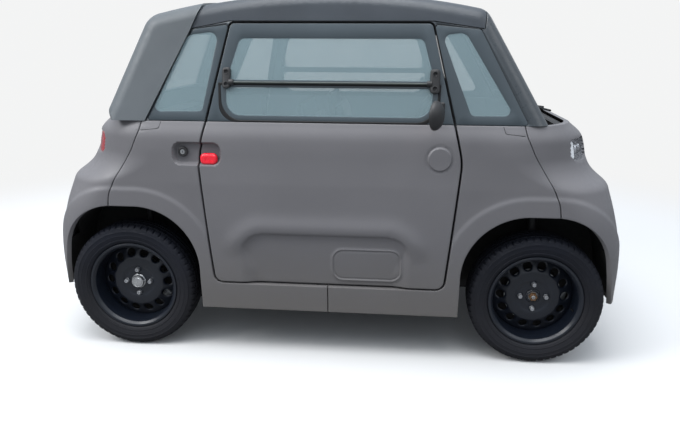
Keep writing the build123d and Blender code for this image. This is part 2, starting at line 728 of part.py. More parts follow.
# Door mirror: a dome turned outwards, on a stalk from the door's glass.
MIRROR_X = DOOR_BELT_X - 80
MIRROR_Y = HALF_WIDTH + 75
MIRROR_Z = 1054.0
MIRROR_RADIUS = 55.0
MIRROR_DEPTH = 32.0
MIRROR_RIM = 6.0
MIRROR_TURN = 22.0
STALK_Z = 1066.0
STALK = 18.0
mirror_ahead = (cos(radians(MIRROR_TURN)), -sin(radians(MIRROR_TURN)), 0)
mirror_across = (sin(radians(MIRROR_TURN)), cos(radians(MIRROR_TURN)), 0)
mirror_middle = (MIRROR_X, -MIRROR_Y, MIRROR_Z)
with BuildPart() as right_door_mirror:
    with BuildSketch(Plane(origin=mirror_middle, x_dir=(0, 0, 1), z_dir=mirror_across)):
        with BuildLine():
            Polyline((0, MIRROR_DEPTH), (0, -MIRROR_RIM), (MIRROR_RADIUS, -MIRROR_RIM), (MIRROR_RADIUS, 0))
            EllipticalCenterArc((0, 0), MIRROR_RADIUS, MIRROR_DEPTH, arc_size=90)
        make_face()
    revolve(axis=Axis(mirror_middle, mirror_ahead))
    with BuildSketch(Plane.YZ.offset(MIRROR_X + STALK)):
        with BuildLine():
            Polyline(
                (-MIRROR_Y, STALK_Z - STALK / 2),
                (-MIRROR_Y, STALK_Z + STALK / 2),
                (-skin_y(STALK_Z + STALK / 2) - FIT, STALK_Z + STALK / 2),
                (-skin_y(STALK_Z - STALK / 2) - FIT, STALK_Z - STALK / 2),
                close=True,
            )
        make_face()
    extrude(amount=STALK)
right_door_mirror.part.label = "right_door_mirror"
export_step(right_door_mirror.part, "parts/right_door_mirror.step")

with BuildPart() as right_door_handle:
    with BuildSketch(Plane.XZ.offset(HANDLE_FLOOR_Y + FIT)):
        with Locations((HANDLE_X, HANDLE_Z)):
            RectangleRounded(72, 48, 14)
    extrude(amount=16)
right_door_handle.part.label = "right_door_handle"
export_step(right_door_handle.part, "parts/right_door_handle.step")

for name, piece in (
    ("left_door_panel", right_door_panel.part),
    ("left_door_frame", right_door_frame.part),
    ("left_door_windows", right_door_windows.part),
    ("left_flap_bar", right_flap_bar.part),
    ("left_door_handle", right_door_handle.part),
):
    turned = Rot(0, 0, 180) * piece
    turned.label = name
    export_step(turned, "parts/" + name + ".step")

with BuildPart() as left_door_mirror:
    mirror(right_door_mirror.part, about=Plane.XZ)
left_door_mirror.part.label = "left_door_mirror"
export_step(left_door_mirror.part, "parts/left_door_mirror.step")

# Gooseneck hinge arms, from the pin in to clear the door's edge, then to the post.
POST_NEAR_X = ARCH_NEAR_X - 37
POST_FAR_X = POST_NEAR_X + 28
POST_OUT_Y = HALF_WIDTH - 89
POST_IN_Y = POST_OUT_Y - 40
ARM_THICK = 6.0
ARM_IN_Y = -POST_OUT_Y - 3
with BuildPart() as hinge_arms:
    for height in HINGE_HEIGHTS:
        with BuildSketch(Plane.XY.offset(height - 20)):
            with Locations((HINGE_X, HINGE_Y)):
                Circle(HINGE_EYE)
            with BuildLine():
                Polyline(
                    (HINGE_X - ARM_THICK / 2, HINGE_Y),
                    (HINGE_X + ARM_THICK / 2, HINGE_Y),
                    (HINGE_X + ARM_THICK / 2, ARM_IN_Y - ARM_THICK),
                    (POST_FAR_X, ARM_IN_Y - ARM_THICK),
                    (POST_FAR_X, ARM_IN_Y + 2.7),
                    (HINGE_X - ARM_THICK / 2, ARM_IN_Y + 2.7),
                    close=True,
                )
            make_face()
        extrude(amount=40)
        with Locations((HINGE_X, HINGE_Y, height)):
            Cylinder(HINGE_PIN + HINGE_PLAY, 60, mode=Mode.SUBTRACT)
    add(Rot(0, 0, 180) * hinge_arms.part)

# Four upright posts beside the door openings, with the hinge arms of the doors.
with BuildPart() as door_posts:
    for side in (-1, 1):
        for end in (-1, 1):
            middle_x = end * (POST_NEAR_X + POST_FAR_X) / 2
            middle_y = side * (POST_IN_Y + POST_OUT_Y) / 2
            with Locations((middle_x, middle_y, RAIL_TOP_Z + FIT)):
                Box(
                    POST_FAR_X - POST_NEAR_X,
                    POST_OUT_Y - POST_IN_Y,
                    BELT_Z - RAIL_TOP_Z - 2 * FIT,
                    align=(Align.CENTER, Align.CENTER, Align.MIN),
                )
    add(hinge_arms.part)
door_posts.part.label = "door_posts"
export_step(door_posts.part, "parts/door_posts.step")

# Chassis: two rails, cross tubes and two bumper beams, welded up.
with BuildPart() as chassis_frame:
    for side in (-1, 1):
        with Locations((0, side * RAIL_Y, (RAIL_BOTTOM_Z + RAIL_TOP_Z) / 2)):
            Box(2 * (HALF_LENGTH - 45), 40, RAIL_TOP_Z - RAIL_BOTTOM_Z)
        with Locations((0, side * (SIDE_WALL_Y - FIT - 20), (RAIL_BOTTOM_Z + RAIL_TOP_Z) / 2 + 5)):
            Box(2 * (ARCH_NEAR_X - 15), 40, RAIL_TOP_Z - RAIL_BOTTOM_Z - 10)
        for end in (-1, 1):
            with Locations((end * (BUMPER_WALL_X - FIT - 15), side * RAIL_Y, RAIL_BOTTOM_Z)):
                Box(30, 40, 255, align=(Align.CENTER, Align.CENTER, Align.MIN))
    for end in (-1, 1):
        with Locations((end * (ARCH_NEAR_X - 30), 0, (RAIL_BOTTOM_Z + RAIL_TOP_Z) / 2 + 5)):
            Box(30, 2 * (SIDE_WALL_Y - FIT - 20), RAIL_TOP_Z - RAIL_BOTTOM_Z - 10)
        with Locations((end * (BUMPER_WALL_X - FIT - 15), 0, 430)):
            Box(30, 2 * (ARCH_WALL_Y - LINER - FIT), 60)
        with Locations((end * (AXLE_X + 196), 0, (RAIL_BOTTOM_Z + RAIL_TOP_Z) / 2)):
            Box(30, 2 * RAIL_Y, 40)
chassis_frame.part.label = "chassis_frame"
export_step(chassis_frame.part, "parts/chassis_frame.step")

# Wheel arch liners: a shell round each wheel opening and an inner wall.
with BuildPart() as arch_liners:
    add(side_block(outline(LINER_OUTLINE, LINER), ARCH_WALL_Y - LINER, SIDE_WALL_Y - FIT))
    add(side_block(outline(LINER_OUTLINE), ARCH_WALL_Y, SIDE_WALL_Y), mode=Mode.SUBTRACT)
    add(hollow.part, mode=Mode.INTERSECT)
    with Locations((ARCH_FAR_X, -500, 0)):
        Box(2000, 1000, 2 * (RAIL_TOP_Z + FIT), mode=Mode.SUBTRACT)
    with Locations((AXLE_X, -ARCH_WALL_Y, 250)):
        Box(260, 80, 160, mode=Mode.SUBTRACT)
    mirror(about=Plane.XZ)
    mirror(about=Plane.YZ)
arch_liners.part.label = "arch_liners"
export_step(arch_liners.part, "parts/arch_liners.step")

# Cabin tub: floor, footwell, rear bulkhead and luggage shelf.
FLOOR_Z = 300.0
PANEL = 8.0
SHELF_Z = 664.0
FOOTWELL_X = AXLE_X - 84
with BuildPart() as cabin_tub:
    with Locations((0, 0, FLOOR_Z)):
        Box(
            2 * (ARCH_NEAR_X - 8),
            2 * (SIDE_WALL_Y - 58),
            PANEL,
            align=(Align.CENTER, Align.CENTER, Align.MIN),
        )
    with Locations((ARCH_NEAR_X - 20, 0, FLOOR_Z)):
        Box(
            FOOTWELL_X - ARCH_NEAR_X + 20,
            2 * (ARCH_WALL_Y - LINER - FIT),
            PANEL,
            align=(Align.MIN, Align.CENTER, Align.MIN),
        )
    with Locations((FOOTWELL_X - PANEL, 0, FLOOR_Z)):
        Box(
            PANEL,
            2 * (ARCH_WALL_Y - LINER - FIT),
            SHELF_Z - FLOOR_Z,
            align=(Align.MIN, Align.CENTER, Align.MIN),
        )
    with Locations((-ARCH_NEAR_X + 20, 0, FLOOR_Z)):
        Box(
            PANEL,
            2 * (SIDE_WALL_Y - 88),
            SHELF_Z - FLOOR_Z,
            align=(Align.CENTER, Align.CENTER, Align.MIN),
        )
    with Locations((-ARCH_NEAR_X + 20, 0, SHELF_Z)):
        Box(440, 2 * (SIDE_WALL_Y - 38), PANEL, align=(Align.MAX, Align.CENTER, Align.MAX))
    add(chassis_frame.part, mode=Mode.SUBTRACT)
    add(door_posts.part, mode=Mode.SUBTRACT)
cabin_tub.part.label = "cabin_tub"
export_step(cabin_tub.part, "parts/cabin_tub.step")

with BuildPart() as battery_pack:
    with Locations((0, 0, FLOOR_Z - FIT)):
        Box(680, 540, 84, align=(Align.CENTER, Align.CENTER, Align.MAX))
battery_pack.part.label = "battery_pack"
export_step(battery_pack.part, "parts/battery_pack.step")

with BuildPart() as drive_motor:
    with Locations(Location((AXLE_X + 135, 0, 330), (90, 0, 0))):
        Cylinder(85, 300)
    with Locations((AXLE_X, 0, TYRE_RADIUS)):
        Box(120, 120, 110)
    with Locations((AXLE_X + 85, 0, RAIL_TOP_Z + FIT)):
        Box(60, 2 * RAIL_Y, 16, align=(Align.CENTER, Align.CENTER, Align.MIN))
drive_motor.part.label = "drive_motor"
export_step(drive_motor.part, "parts/drive_motor.step")

SHAFT_END_Y = HALF_WIDTH - 233
with BuildPart() as drive_shafts:
    for side in (-1, 1):
        with Locations(Location((AXLE_X, side * 60.3, TYRE_RADIUS), (-side * 90, 0, 0))):
            Cylinder(11, SHAFT_END_Y - 60.3, align=(Align.CENTER, Align.CENTER, Align.MIN))
            Cylinder(32, 50, align=(Align.CENTER, Align.CENTER, Align.MIN))
        with Locations(Location((AXLE_X, side * SHAFT_END_Y, TYRE_RADIUS), (side * 90, 0, 0))):
            Cone(30, 18, 60, align=(Align.CENTER, Align.CENTER, Align.MIN))
drive_shafts.part.label = "drive_shafts"
export_step(drive_shafts.part, "parts/drive_shafts.step")

# Front lower arms, seated on brackets under the rails.
with BuildPart() as lower_arms:
    with BuildSketch(Plane.XY.offset(BALL_Z - 14)):
        with BuildLine():
            Polyline(
                (AXLE_X - 80, -RAIL_Y + 20),
                (AXLE_X + 80, -RAIL_Y + 20),
                (AXLE_X + 22, -BALL_Y + 6),
                (AXLE_X - 22, -BALL_Y + 6),
                close=True,
            )
        make_face()
        with Locations((AXLE_X, -BALL_Y)):
            Circle(16)
        with BuildLine():
            Polyline(
                (AXLE_X - 40, -RAIL_Y - 30),
                (AXLE_X + 40, -RAIL_Y - 30),
                (AXLE_X + 12, -BALL_Y + 60),
                (AXLE_X - 12, -BALL_Y + 60),
                close=True,
            )
        make_face(mode=Mode.SUBTRACT)
    extrude(amount=12)
    with Locations((AXLE_X, -BALL_Y, BALL_Z - 14)):
        Cylinder(16, 18, align=(Align.CENTER, Align.CENTER, Align.MIN))
    with Locations((AXLE_X, -BALL_Y, BALL_Z)):
        Sphere(BALL_RADIUS + HINGE_PLAY, mode=Mode.SUBTRACT)
    with Locations((AXLE_X - 66, -RAIL_Y, BALL_Z - 14), (AXLE_X + 66, -RAIL_Y, BALL_Z - 14)):
        Box(
            26, 34, RAIL_BOTTOM_Z - FIT - BALL_Z + 14, align=(Align.CENTER, Align.CENTER, Align.MIN)
        )
    mirror(about=Plane.XZ)
lower_arms.part.label = "lower_arms"
export_step(lower_arms.part, "parts/lower_arms.step")

# Rear axle: trailing arms joined by a cross tube, with a stub for each wheel.
REAR_X = -AXLE_X
REAR_ARM_Y = HALF_WIDTH - 255
with BuildPart() as rear_axle:
    with Locations(Location((REAR_X + 250, 0, 180), (90, 0, 0))):
        Cylinder(22, 2 * REAR_ARM_Y)
    for side in (-1, 1):
        with BuildSketch(Plane.XZ.offset(side * REAR_ARM_Y - 15)):
            with BuildLine():
                Polyline(
                    (REAR_X - 40, 250),
                    (REAR_X - 40, 313),
                    (REAR_X + 46, 313),
                    (REAR_X + 275, 195),
                    (REAR_X + 275, 160),
                    (REAR_X + 240, 160),
                    close=True,
                )
            make_face()
        extrude(amount=30)
        with Locations(Location((REAR_X, side * (REAR_ARM_Y + 10), TYRE_RADIUS), (-side * 90, 0, 0))):
            Cylinder(34, 72, align=(Align.CENTER, Align.CENTER, Align.MIN))
            Cylinder(
                STUB_RADIUS + HINGE_PLAY,
                80,
                align=(Align.CENTER, Align.CENTER, Align.MIN),
                mode=Mode.SUBTRACT,
            )
        with Locations((REAR_X + 250, side * RAIL_Y, 180)):
            Box(44, 34, RAIL_BOTTOM_Z - FIT - 180, align=(Align.CENTER, Align.CENTER, Align.MIN))
rear_axle.part.label = "rear_axle"
export_step(rear_axle.part, "parts/rear_axle.step")

with BuildPart() as rear_dampers:
    for side in (-1, 1):
        with Locations((REAR_X + 20, side * REAR_ARM_Y, 313 + FIT)):
            Cylinder(13, 334, align=(Align.CENTER, Align.CENTER, Align.MIN))
            Cylinder(24, 190, align=(Align.CENTER, Align.CENTER, Align.MIN))
rear_dampers.part.label = "rear_dampers"
export_step(rear_dampers.part, "parts/rear_dampers.step")

# Front knuckles: bearing housing, ball joint lug and strut, turning as one.
HOUSING_RADIUS = 38.0
HOUSING_IN_Y = HALF_WIDTH - 201
HOUSING_OUT_Y = HOUSING_IN_Y + 39
STRUT_FOOT_Y = HALF_WIDTH - 231
STRUT_FOOT_Z = 330.0
steer_lean = (0, BALL_Y - STRUT_TOP_Y, STRUT_TOP_Z - BALL_Z)
strut_lean = (STRUT_FOOT_Y - STRUT_TOP_Y) / (STRUT_TOP_Z - STRUT_FOOT_Z)
with BuildPart() as front_right_knuckle:
    with Locations(Location((AXLE_X, -HOUSING_IN_Y, TYRE_RADIUS), (90, 0, 0))):
        Cylinder(
            HOUSING_RADIUS,
            HOUSING_OUT_Y - HOUSING_IN_Y,
            align=(Align.CENTER, Align.CENTER, Align.MIN),
        )
    with BuildSketch(Plane.YZ.offset(AXLE_X - 14)):
        with BuildLine():
            Polyline(
                (-HOUSING_IN_Y - 4, 270),
                (-HOUSING_IN_Y - 4, 300),
                (-STRUT_FOOT_Y + 14, 336),
                (-STRUT_FOOT_Y + 8, 400),
                (-STRUT_FOOT_Y - 12, 400),
                (-HOUSING_OUT_Y + 4, 300),
                (-HOUSING_OUT_Y + 4, 250),
                (-BALL_Y - 10, 190),
                (-BALL_Y + 12, 190),
                close=True,
            )
        make_face()
    extrude(amount=28)
    with Locations((AXLE_X, -BALL_Y, BALL_Z)):
        Sphere(BALL_RADIUS)
    with BuildSketch(Plane(origin=(AXLE_X, -BALL_Y, BALL_Z), z_dir=steer_lean)):
        Circle(6)
    extrude(amount=24)
    with Locations(Location((AXLE_X, -HOUSING_IN_Y + 1, TYRE_RADIUS), (90, 0, 0))):
        Cylinder(
            STUB_RADIUS + HINGE_PLAY,
            60,
            align=(Align.CENTER, Align.CENTER, Align.MIN),
            mode=Mode.SUBTRACT,
        )

with BuildPart() as front_right_strut:
    with BuildSketch(Plane.XY.offset(396)):
        with Locations((AXLE_X, -STRUT_FOOT_Y + strut_lean * 72)):
            Circle(22)
    with BuildSketch(Plane.XY.offset(STRUT_TOP_Z)):
        with Locations((AXLE_X, -STRUT_TOP_Y)):
            Circle(22)
    loft(ruled=True)
    with Locations((AXLE_X, -STRUT_TOP_Y - strut_lean * 150, STRUT_TOP_Z - 150)):
        Cylinder(42, 8)
    with Locations((AXLE_X, -STRUT_TOP_Y, STRUT_TOP_Z - 8)):
        Cylinder(42, 8, align=(Align.CENTER, Align.CENTER, Align.MIN))

with BuildPart() as front_right_suspension:
    add(front_right_knuckle.part)
    add(front_right_strut.part)
front_right_suspension.part.label = "front_right_knuckle"
export_step(front_right_suspension.part, "parts/front_right_knuckle.step")

with BuildPart() as front_left_suspension:
    mirror(front_right_suspension.part, about=Plane.XZ)
front_left_suspension.part.label = "front_left_knuckle"
export_step(front_left_suspension.part, "parts/front_left_knuckle.step")

# One wheel, drawn about the Y axis with its outer side towards -Y.
# Columns: radius, distance out from the wheel's middle.
TYRE_SECTION = (
    (BEAD_RADIUS, BEAD_HALF_WIDTH),
    (196, BEAD_HALF_WIDTH),
    (226, TYRE_HALF_WIDTH),
    (262, 72),
    (TYRE_RADIUS, 46),
)
DISC_SECTION = (
    (29, -2),
    (74, -2),
    (98, 16),
    (160, 16),
    (173, 6),
    (173, -4),
    (160, 9),
    (101, 9),
    (77, -8),
    (29, -8),
)
with BuildPart() as tyre:
    with BuildSketch(Plane.XY):
        with BuildLine():
            Polyline(
                [(radius, -out) for radius, out in TYRE_SECTION]
                + [(radius, out) for radius, out in reversed(TYRE_SECTION)],
                close=True,
            )
        make_face()
    revolve(axis=Axis.Y)

with BuildPart() as rim:
    with BuildSketch(Plane.XY):
        with BuildLine():
            Polyline(
                (172, -64),
                (176, -RIM_HALF_WIDTH),
                (RIM_RADIUS, -RIM_HALF_WIDTH),
                (RIM_RADIUS, -BEAD_HALF_WIDTH - FIT),
                (BEAD_RADIUS - FIT, -BEAD_HALF_WIDTH - FIT),
                (BEAD_RADIUS - FIT, BEAD_HALF_WIDTH + FIT),
                (RIM_RADIUS, BEAD_HALF_WIDTH + FIT),
                (RIM_RADIUS, RIM_HALF_WIDTH),
                (176, RIM_HALF_WIDTH),
                (172, 64),
                close=True,
            )
        make_face()
        with BuildLine():
            Polyline([(radius, -out) for radius, out in DISC_SECTION], close=True)
        make_face()
    revolve(axis=Axis.Y)
    with BuildSketch(Plane.XZ):
        with PolarLocations(VENT_CIRCLE, VENT_COUNT):
            Circle(VENT_RADIUS)
        with PolarLocations(BOLT_CIRCLE, BOLT_COUNT):
            Circle(BOLT_HOLE)
    extrude(amount=60, both=True, mode=Mode.SUBTRACT)

with BuildPart() as front_hub:
    with Locations(Location((0, 8 + FIT, 0), (-90, 0, 0))):
        Cylinder(64, 8, align=(Align.CENTER, Align.CENTER, Align.MIN))
        Cylinder(118, 9, align=(Align.CENTER, Align.CENTER, Align.MIN))
    with Locations(Location((0, -6, 0), (-90, 0, 0))):
        Cylinder(28.7, 20, align=(Align.CENTER, Align.CENTER, Align.MIN))
        Cylinder(STUB_RADIUS, 84, align=(Align.CENTER, Align.CENTER, Align.MIN))

with BuildPart() as rear_hub:
    with Locations(Location((0, 8 + FIT, 0), (-90, 0, 0))):
        Cylinder(104, 40, align=(Align.CENTER, Align.CENTER, Align.MIN))
    with Locations(Location((0, -10, 0), (-90, 0, 0))):
        Cylinder(28.7, 20, align=(Align.CENTER, Align.CENTER, Align.MIN))
        Cylinder(STUB_RADIUS, 90, align=(Align.CENTER, Align.CENTER, Align.MIN))

for name, x, y, turn, hub in (
    ("front_right", AXLE_X, -WHEEL_Y, 0, front_hub.part),
    ("front_left", AXLE_X, WHEEL_Y, 180, front_hub.part),
    ("rear_right", -AXLE_X, -WHEEL_Y, 0, rear_hub.part),
    ("rear_left", -AXLE_X, WHEEL_Y, 180, rear_hub.part),
):
    for kind, piece in (("tyre", tyre.part), ("rim", rim.part), ("hub", hub)):
        placed = Pos(x, y, TYRE_RADIUS) * Rot(0, 0, turn) * piece
        placed.label = name + "_" + kind
        export_step(placed, "parts/" + name + "_" + kind + ".step")

# Cabin.
SEAT_Y = 290.0
SEAT_SHIFT = 60.0
with BuildPart() as seat_shells:
    for shift, side in ((-SEAT_SHIFT, -1), (0, 1)):
        with BuildSketch(Plane.XZ.offset(-side * SEAT_Y - 210)):
            with BuildLine():
                Polyline(
                    (shift + 450, FLOOR_Z + PANEL + FIT),
                    (shift + 450, 430),
                    (shift + 40, 400),
                    (shift - 70, 1060),
                    (shift - 90, 1056),
                    (shift + 10, FLOOR_Z + PANEL + FIT),
                    close=True,
                )
            make_face()
        extrude(amount=420)
seat_shells.part.label = "seat_shells"
export_step(seat_shells.part, "parts/seat_shells.step")

with BuildPart() as seat_cushions:
    for shift, side in ((-SEAT_SHIFT, -1), (0, 1)):
        with BuildSketch(Plane.XZ.offset(-side * SEAT_Y - 200)):
            with BuildLine():
                Polyline(
                    (shift + 455, 431),
                    (shift + 455, 500),
                    (shift + 110, 475),
                    (shift + 84, 475),
                    (shift + 55, 402),
                    close=True,
                )
            make_face()
            with BuildLine():
                Polyline(
                    (shift + 28.8, 470),
                    (shift + 80, 480),
                    (shift - 12, 1020),
                    (shift - 61.2, 1010),
                    close=True,
                )
            make_face()
        extrude(amount=400)
seat_cushions.part.label = "seat_cushions"
export_step(seat_cushions.part, "parts/seat_cushions.step")

with BuildPart() as dashboard:
    with BuildSketch(Plane.XZ):
        with BuildLine():
            Polyline(
                (ARCH_NEAR_X + 15, 700),
                (ARCH_NEAR_X - 25, 800),
                (ARCH_NEAR_X, 880),
                (AXLE_X - 164, 905),
                (AXLE_X - 34, 900),
                (AXLE_X - 34, 880),
                (AXLE_X - 164, 700),
                close=True,
            )
        make_face()
    extrude(amount=POST_IN_Y - FIT, both=True)
dashboard.part.label = "dashboard"
export_step(dashboard.part, "parts/dashboard.step")

WHEEL_X = ARCH_NEAR_X - 185
STEER_Y = 290.0
STEER_Z = 880.0
COLUMN_TILT = 25.0
STEER_RIM = 178.0
steer_axis = Plane(
    origin=(WHEEL_X, STEER_Y, STEER_Z),
    x_dir=(0, 1, 0),
    z_dir=(-cos(radians(COLUMN_TILT)), 0, sin(radians(COLUMN_TILT))),
)
with BuildPart() as steering_wheel:
    with BuildSketch(steer_axis.offset(-10)):
        Circle(STEER_RIM)
        Circle(STEER_RIM - 28, mode=Mode.SUBTRACT)
        with Locations((0, 0)):
            Circle(45)
        Rectangle(2 * STEER_RIM - 30, 40)
        with Locations((0, -80)):
            Rectangle(40, 150)
    extrude(amount=22)
steering_wheel.part.label = "steering_wheel"
export_step(steering_wheel.part, "parts/steering_wheel.step")

with BuildPart() as steering_column:
    with BuildSketch(steer_axis.offset(-10 - FIT)):
        Circle(24)
    extrude(amount=-190)
    add(dashboard.part, mode=Mode.SUBTRACT)
steering_column.part.label = "steering_column"
export_step(steering_column.part, "parts/steering_column.step")

with BuildPart() as pedals:
    for y in (210, 300):
        with BuildSketch(Plane.XZ.offset(-y - 25)):
            with BuildLine():
                Polyline(
                    (FOOTWELL_X - PANEL - FIT, 560),
                    (FOOTWELL_X - PANEL - FIT, 530),
                    (FOOTWELL_X - 90, 400),
                    (FOOTWELL_X - 110, 408),
                    (FOOTWELL_X - 40, 560),
                    close=True,
                )
            make_face()
        extrude(amount=50)
pedals.part.label = "pedals"
export_step(pedals.part, "parts/pedals.step")

with BuildPart() as interior_mirror:
    with Locations((SCREEN_TOP_X - 112, 0, 1380)):
        Box(24, 200, 56)
    with Locations((SCREEN_TOP_X - 82, 0, 1396)):
        Box(60, 20, 10)
    with Locations((SCREEN_TOP_X - 72, 0, 1400)):
        Box(40, 20, 60, align=(Align.CENTER, Align.CENTER, Align.MIN))
    add(green_shell.part, mode=Mode.SUBTRACT)
interior_mirror.part.label = "interior_mirror"
export_step(interior_mirror.part, "parts/interior_mirror.step")
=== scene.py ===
import math

import bmesh
import bpy
import numpy as np
from mathutils import Matrix, Vector, geometry


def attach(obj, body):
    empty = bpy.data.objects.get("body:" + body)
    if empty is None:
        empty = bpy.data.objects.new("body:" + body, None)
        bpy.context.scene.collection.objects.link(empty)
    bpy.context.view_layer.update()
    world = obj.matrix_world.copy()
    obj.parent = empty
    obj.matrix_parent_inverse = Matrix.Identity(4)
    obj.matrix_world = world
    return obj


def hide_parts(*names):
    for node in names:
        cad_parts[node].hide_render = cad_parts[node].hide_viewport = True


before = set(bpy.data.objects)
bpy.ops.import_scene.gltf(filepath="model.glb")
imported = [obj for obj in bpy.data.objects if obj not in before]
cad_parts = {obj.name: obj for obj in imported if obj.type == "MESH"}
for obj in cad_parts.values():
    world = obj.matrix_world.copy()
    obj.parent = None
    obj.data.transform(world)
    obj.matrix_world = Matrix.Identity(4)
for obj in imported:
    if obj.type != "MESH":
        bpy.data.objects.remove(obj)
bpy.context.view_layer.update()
scene = bpy.context.scene
scene.view_settings.view_transform = "Standard"

MM = 0.001

# Body sizes in millimetres, the same as the solid model's.
HALF_LENGTH = 1205.0
HALF_WIDTH = 695.0
SILL_Z = 205.0
CREASE_Z = 755.0
BELT_Z = 1005.0
BELT_EDGE_Z = 1004.4
SIDE_WALL_Y = 648.0
WALL_BEND_Z = 850.0
BELT_WALL_IN = 36
SIDE_BELT_Y = 652.0
SIDE_LEAN = 0.1947
AXLE_X = 864.0
WHEEL_Y = 577.5
TYRE_RADIUS = 278.5

# Rows of the lower body, evenly spaced in height.
# Columns: how far its end and its side stand in from the full size, and the round of its corner.
FENDER_STEP = 110
FENDER_ROWS = np.array([
    (2, 23, 150), (2, 12, 153), (0, 4, 160), (3, 0, 180), (24, 0, 205), (50, 3, 266),
], float)
SHOULDER_STEP = 50
SHOULDER_ROWS = np.array([
    (50, 3, 266), (105, 7, 320), (130, 10, 350), (142, 12, 348), (167, 18, 315), (231, 39, 250),
], float)

# Share of a quarter of the body's outline that is side, then corner, then front.
SIDE_SHARE = 0.555
CORNER_SHARE = 0.73
QUARTER = 1800.0

DOOR_EDGE = (
    (492.3, BELT_EDGE_Z, 6), (526, 860, 250), (476, 332, 35),
    (-476, 332, 35), (-526, 860, 250), (-492.3, BELT_EDGE_Z, 6),
)
ARCH_TOP_Z = 652.0
WING_EDGE = (
    (1.8, 205, 2), (545, 205, 3), (545, ARCH_TOP_Z, 268), (919, ARCH_TOP_Z, 4),
    (913.5, 700, 120), (886.5, 765, 250), (808.5, 888, 200), (771.5, 965, 110), (761.5, BELT_EDGE_Z, 4),
    (500.6, BELT_EDGE_Z, 4), (534.2, 860, 256), (484.4, 324, 43), (1.8, 324, 2),
)
FASCIA_SIDE = (
    (765, BELT_EDGE_Z, 4), (775, 965, 116), (812, 888, 200), (890, 765, 250), (917, 700, 120),
    (923, ARCH_TOP_Z, 4), (1102, ARCH_TOP_Z, 235), (1177.3, 267, 8),
)


def catmull(rows, t):
    """Smooth values between evenly spaced rows, t from 0 to the last row's index."""
    last = len(rows) - 1
    i = np.clip(np.floor(t).astype(int), 0, last - 1)
    f = (t - i)[:, None]
    p1, p2 = rows[i], rows[i + 1]
    p0 = np.where((i > 0)[:, None], rows[np.maximum(i - 1, 0)], 2 * p1 - p2)
    p3 = np.where((i < last - 1)[:, None], rows[np.minimum(i + 2, last)], 2 * p2 - p1)
    m1, m2 = (p2 - p0) / 2, (p3 - p1) / 2
    h00, h10 = 2 * f**3 - 3 * f**2 + 1, f**3 - 2 * f**2 + f
    return h00 * p1 + h10 * m1 + (1 - h00) * p2 + (f**3 - f**2) * m2


def body_row(z):
    """Half length, half width and corner round of the lower body at heights z."""
    z = np.atleast_1d(np.asarray(z, float))
    total = 0
    for shift in (-9, 0, 9):
        at = np.clip(z + shift, SILL_Z, BELT_Z)
        low = catmull(FENDER_ROWS, (np.clip(at, SILL_Z, CREASE_Z) - SILL_Z) / FENDER_STEP)
        high = catmull(SHOULDER_ROWS, (np.clip(at, CREASE_Z, BELT_Z) - CREASE_Z) / SHOULDER_STEP)
        total = total + np.where((at < CREASE_Z)[:, None], low, high)
    row = total / 3
    return HALF_LENGTH - row[:, 0], HALF_WIDTH - row[:, 1], row[:, 2]


def side_y(x, z):
    """How far out the lower body's side lies at (x, z)."""
    length, width, bend = body_row(z)
    past = np.clip(np.abs(x) - (length - bend), 0, bend)
    return width - bend + np.sqrt(np.maximum(bend**2 - past**2, 0))


def wrap_from_side(x, z):
    """Distance round the body from the middle of the front, for a point on the side."""
    length, _, bend = body_row(z)
    flat = length - bend
    past = np.clip((x - flat) / bend, 0, 1)
    share = np.where(
        x <= flat,
        SIDE_SHARE * x / flat,
        SIDE_SHARE + (CORNER_SHARE - SIDE_SHARE) * np.arcsin(past) / (math.pi / 2),
    )
    return (1 - share) * QUARTER


def wrap_point(s, z):
    """Place and outward direction in plan, at distance s round the body and height z."""
    length, width, bend = body_row(z)
    share = 1 - np.abs(s) / QUARTER
    angle = np.clip((share - SIDE_SHARE) / (CORNER_SHARE - SIDE_SHARE), 0, 1) * math.pi / 2
    x = length - bend + bend * np.sin(angle)
    y = width - bend + bend * np.cos(angle)
    x = np.where(share < SIDE_SHARE, (length - bend) * share / SIDE_SHARE, x)
    y = np.where(share > CORNER_SHARE, (width - bend) * (1 - share) / (1 - CORNER_SHARE), y)
    side = np.where(s < 0, -1.0, 1.0)
    return x, y * side, np.sin(angle), np.cos(angle) * side


def rounded(rows, step, closed=True):
    """Points along an outline of (x, z, round) rows, a few millimetres apart."""
    out = []
    count = len(rows)
    for k in range(count):
        a, b, c = (np.array(rows[(k + d) % count][:2], float) for d in (-1, 0, 1))
        bend = rows[k][2]
        if not closed and k in (0, count - 1):
            out.append([b])
            continue
        u, v = (a - b) / np.linalg.norm(a - b), (c - b) / np.linalg.norm(c - b)
        half = math.acos(float(np.clip(u @ v, -1, 1))) / 2
        reach = bend / math.tan(half)
        centre = b + (u + v) / np.linalg.norm(u + v) * bend / math.sin(half)
        start, end = b + u * reach - centre, b + v * reach - centre
        first = math.atan2(start[1], start[0])
        sweep = (math.atan2(end[1], end[0]) - first + math.pi) % (2 * math.pi) - math.pi
        parts = max(2, int(abs(sweep) * bend / step), int(abs(sweep) / 0.25))
        out.append([
            centre + bend * np.array([math.cos(first + sweep * i / parts), math.sin(first + sweep * i / parts)])
            for i in range(parts + 1)
        ])
    points = []
    for k, arc in enumerate(out):
        points += arc
        if closed or k < count - 1:
            gap = out[(k + 1) % count][0] - arc[-1]
            parts = int(np.linalg.norm(gap) / step)
            points += [arc[-1] + gap * i / parts for i in range(1, parts)]
    kept = [points[0]]
    for p in points[1:]:
        if np.linalg.norm(p - kept[-1]) > 0.25:
            kept.append(p)
    if closed and np.linalg.norm(kept[0] - kept[-1]) < 0.25:
        kept.pop()
    return np.array(kept)


def unit_rows(rows):
    return rows / np.linalg.norm(rows, axis=1)[:, None]


def turns(count):
    """Evenly spaced angles, once round."""
    return np.arange(count) * 2 * math.pi / count


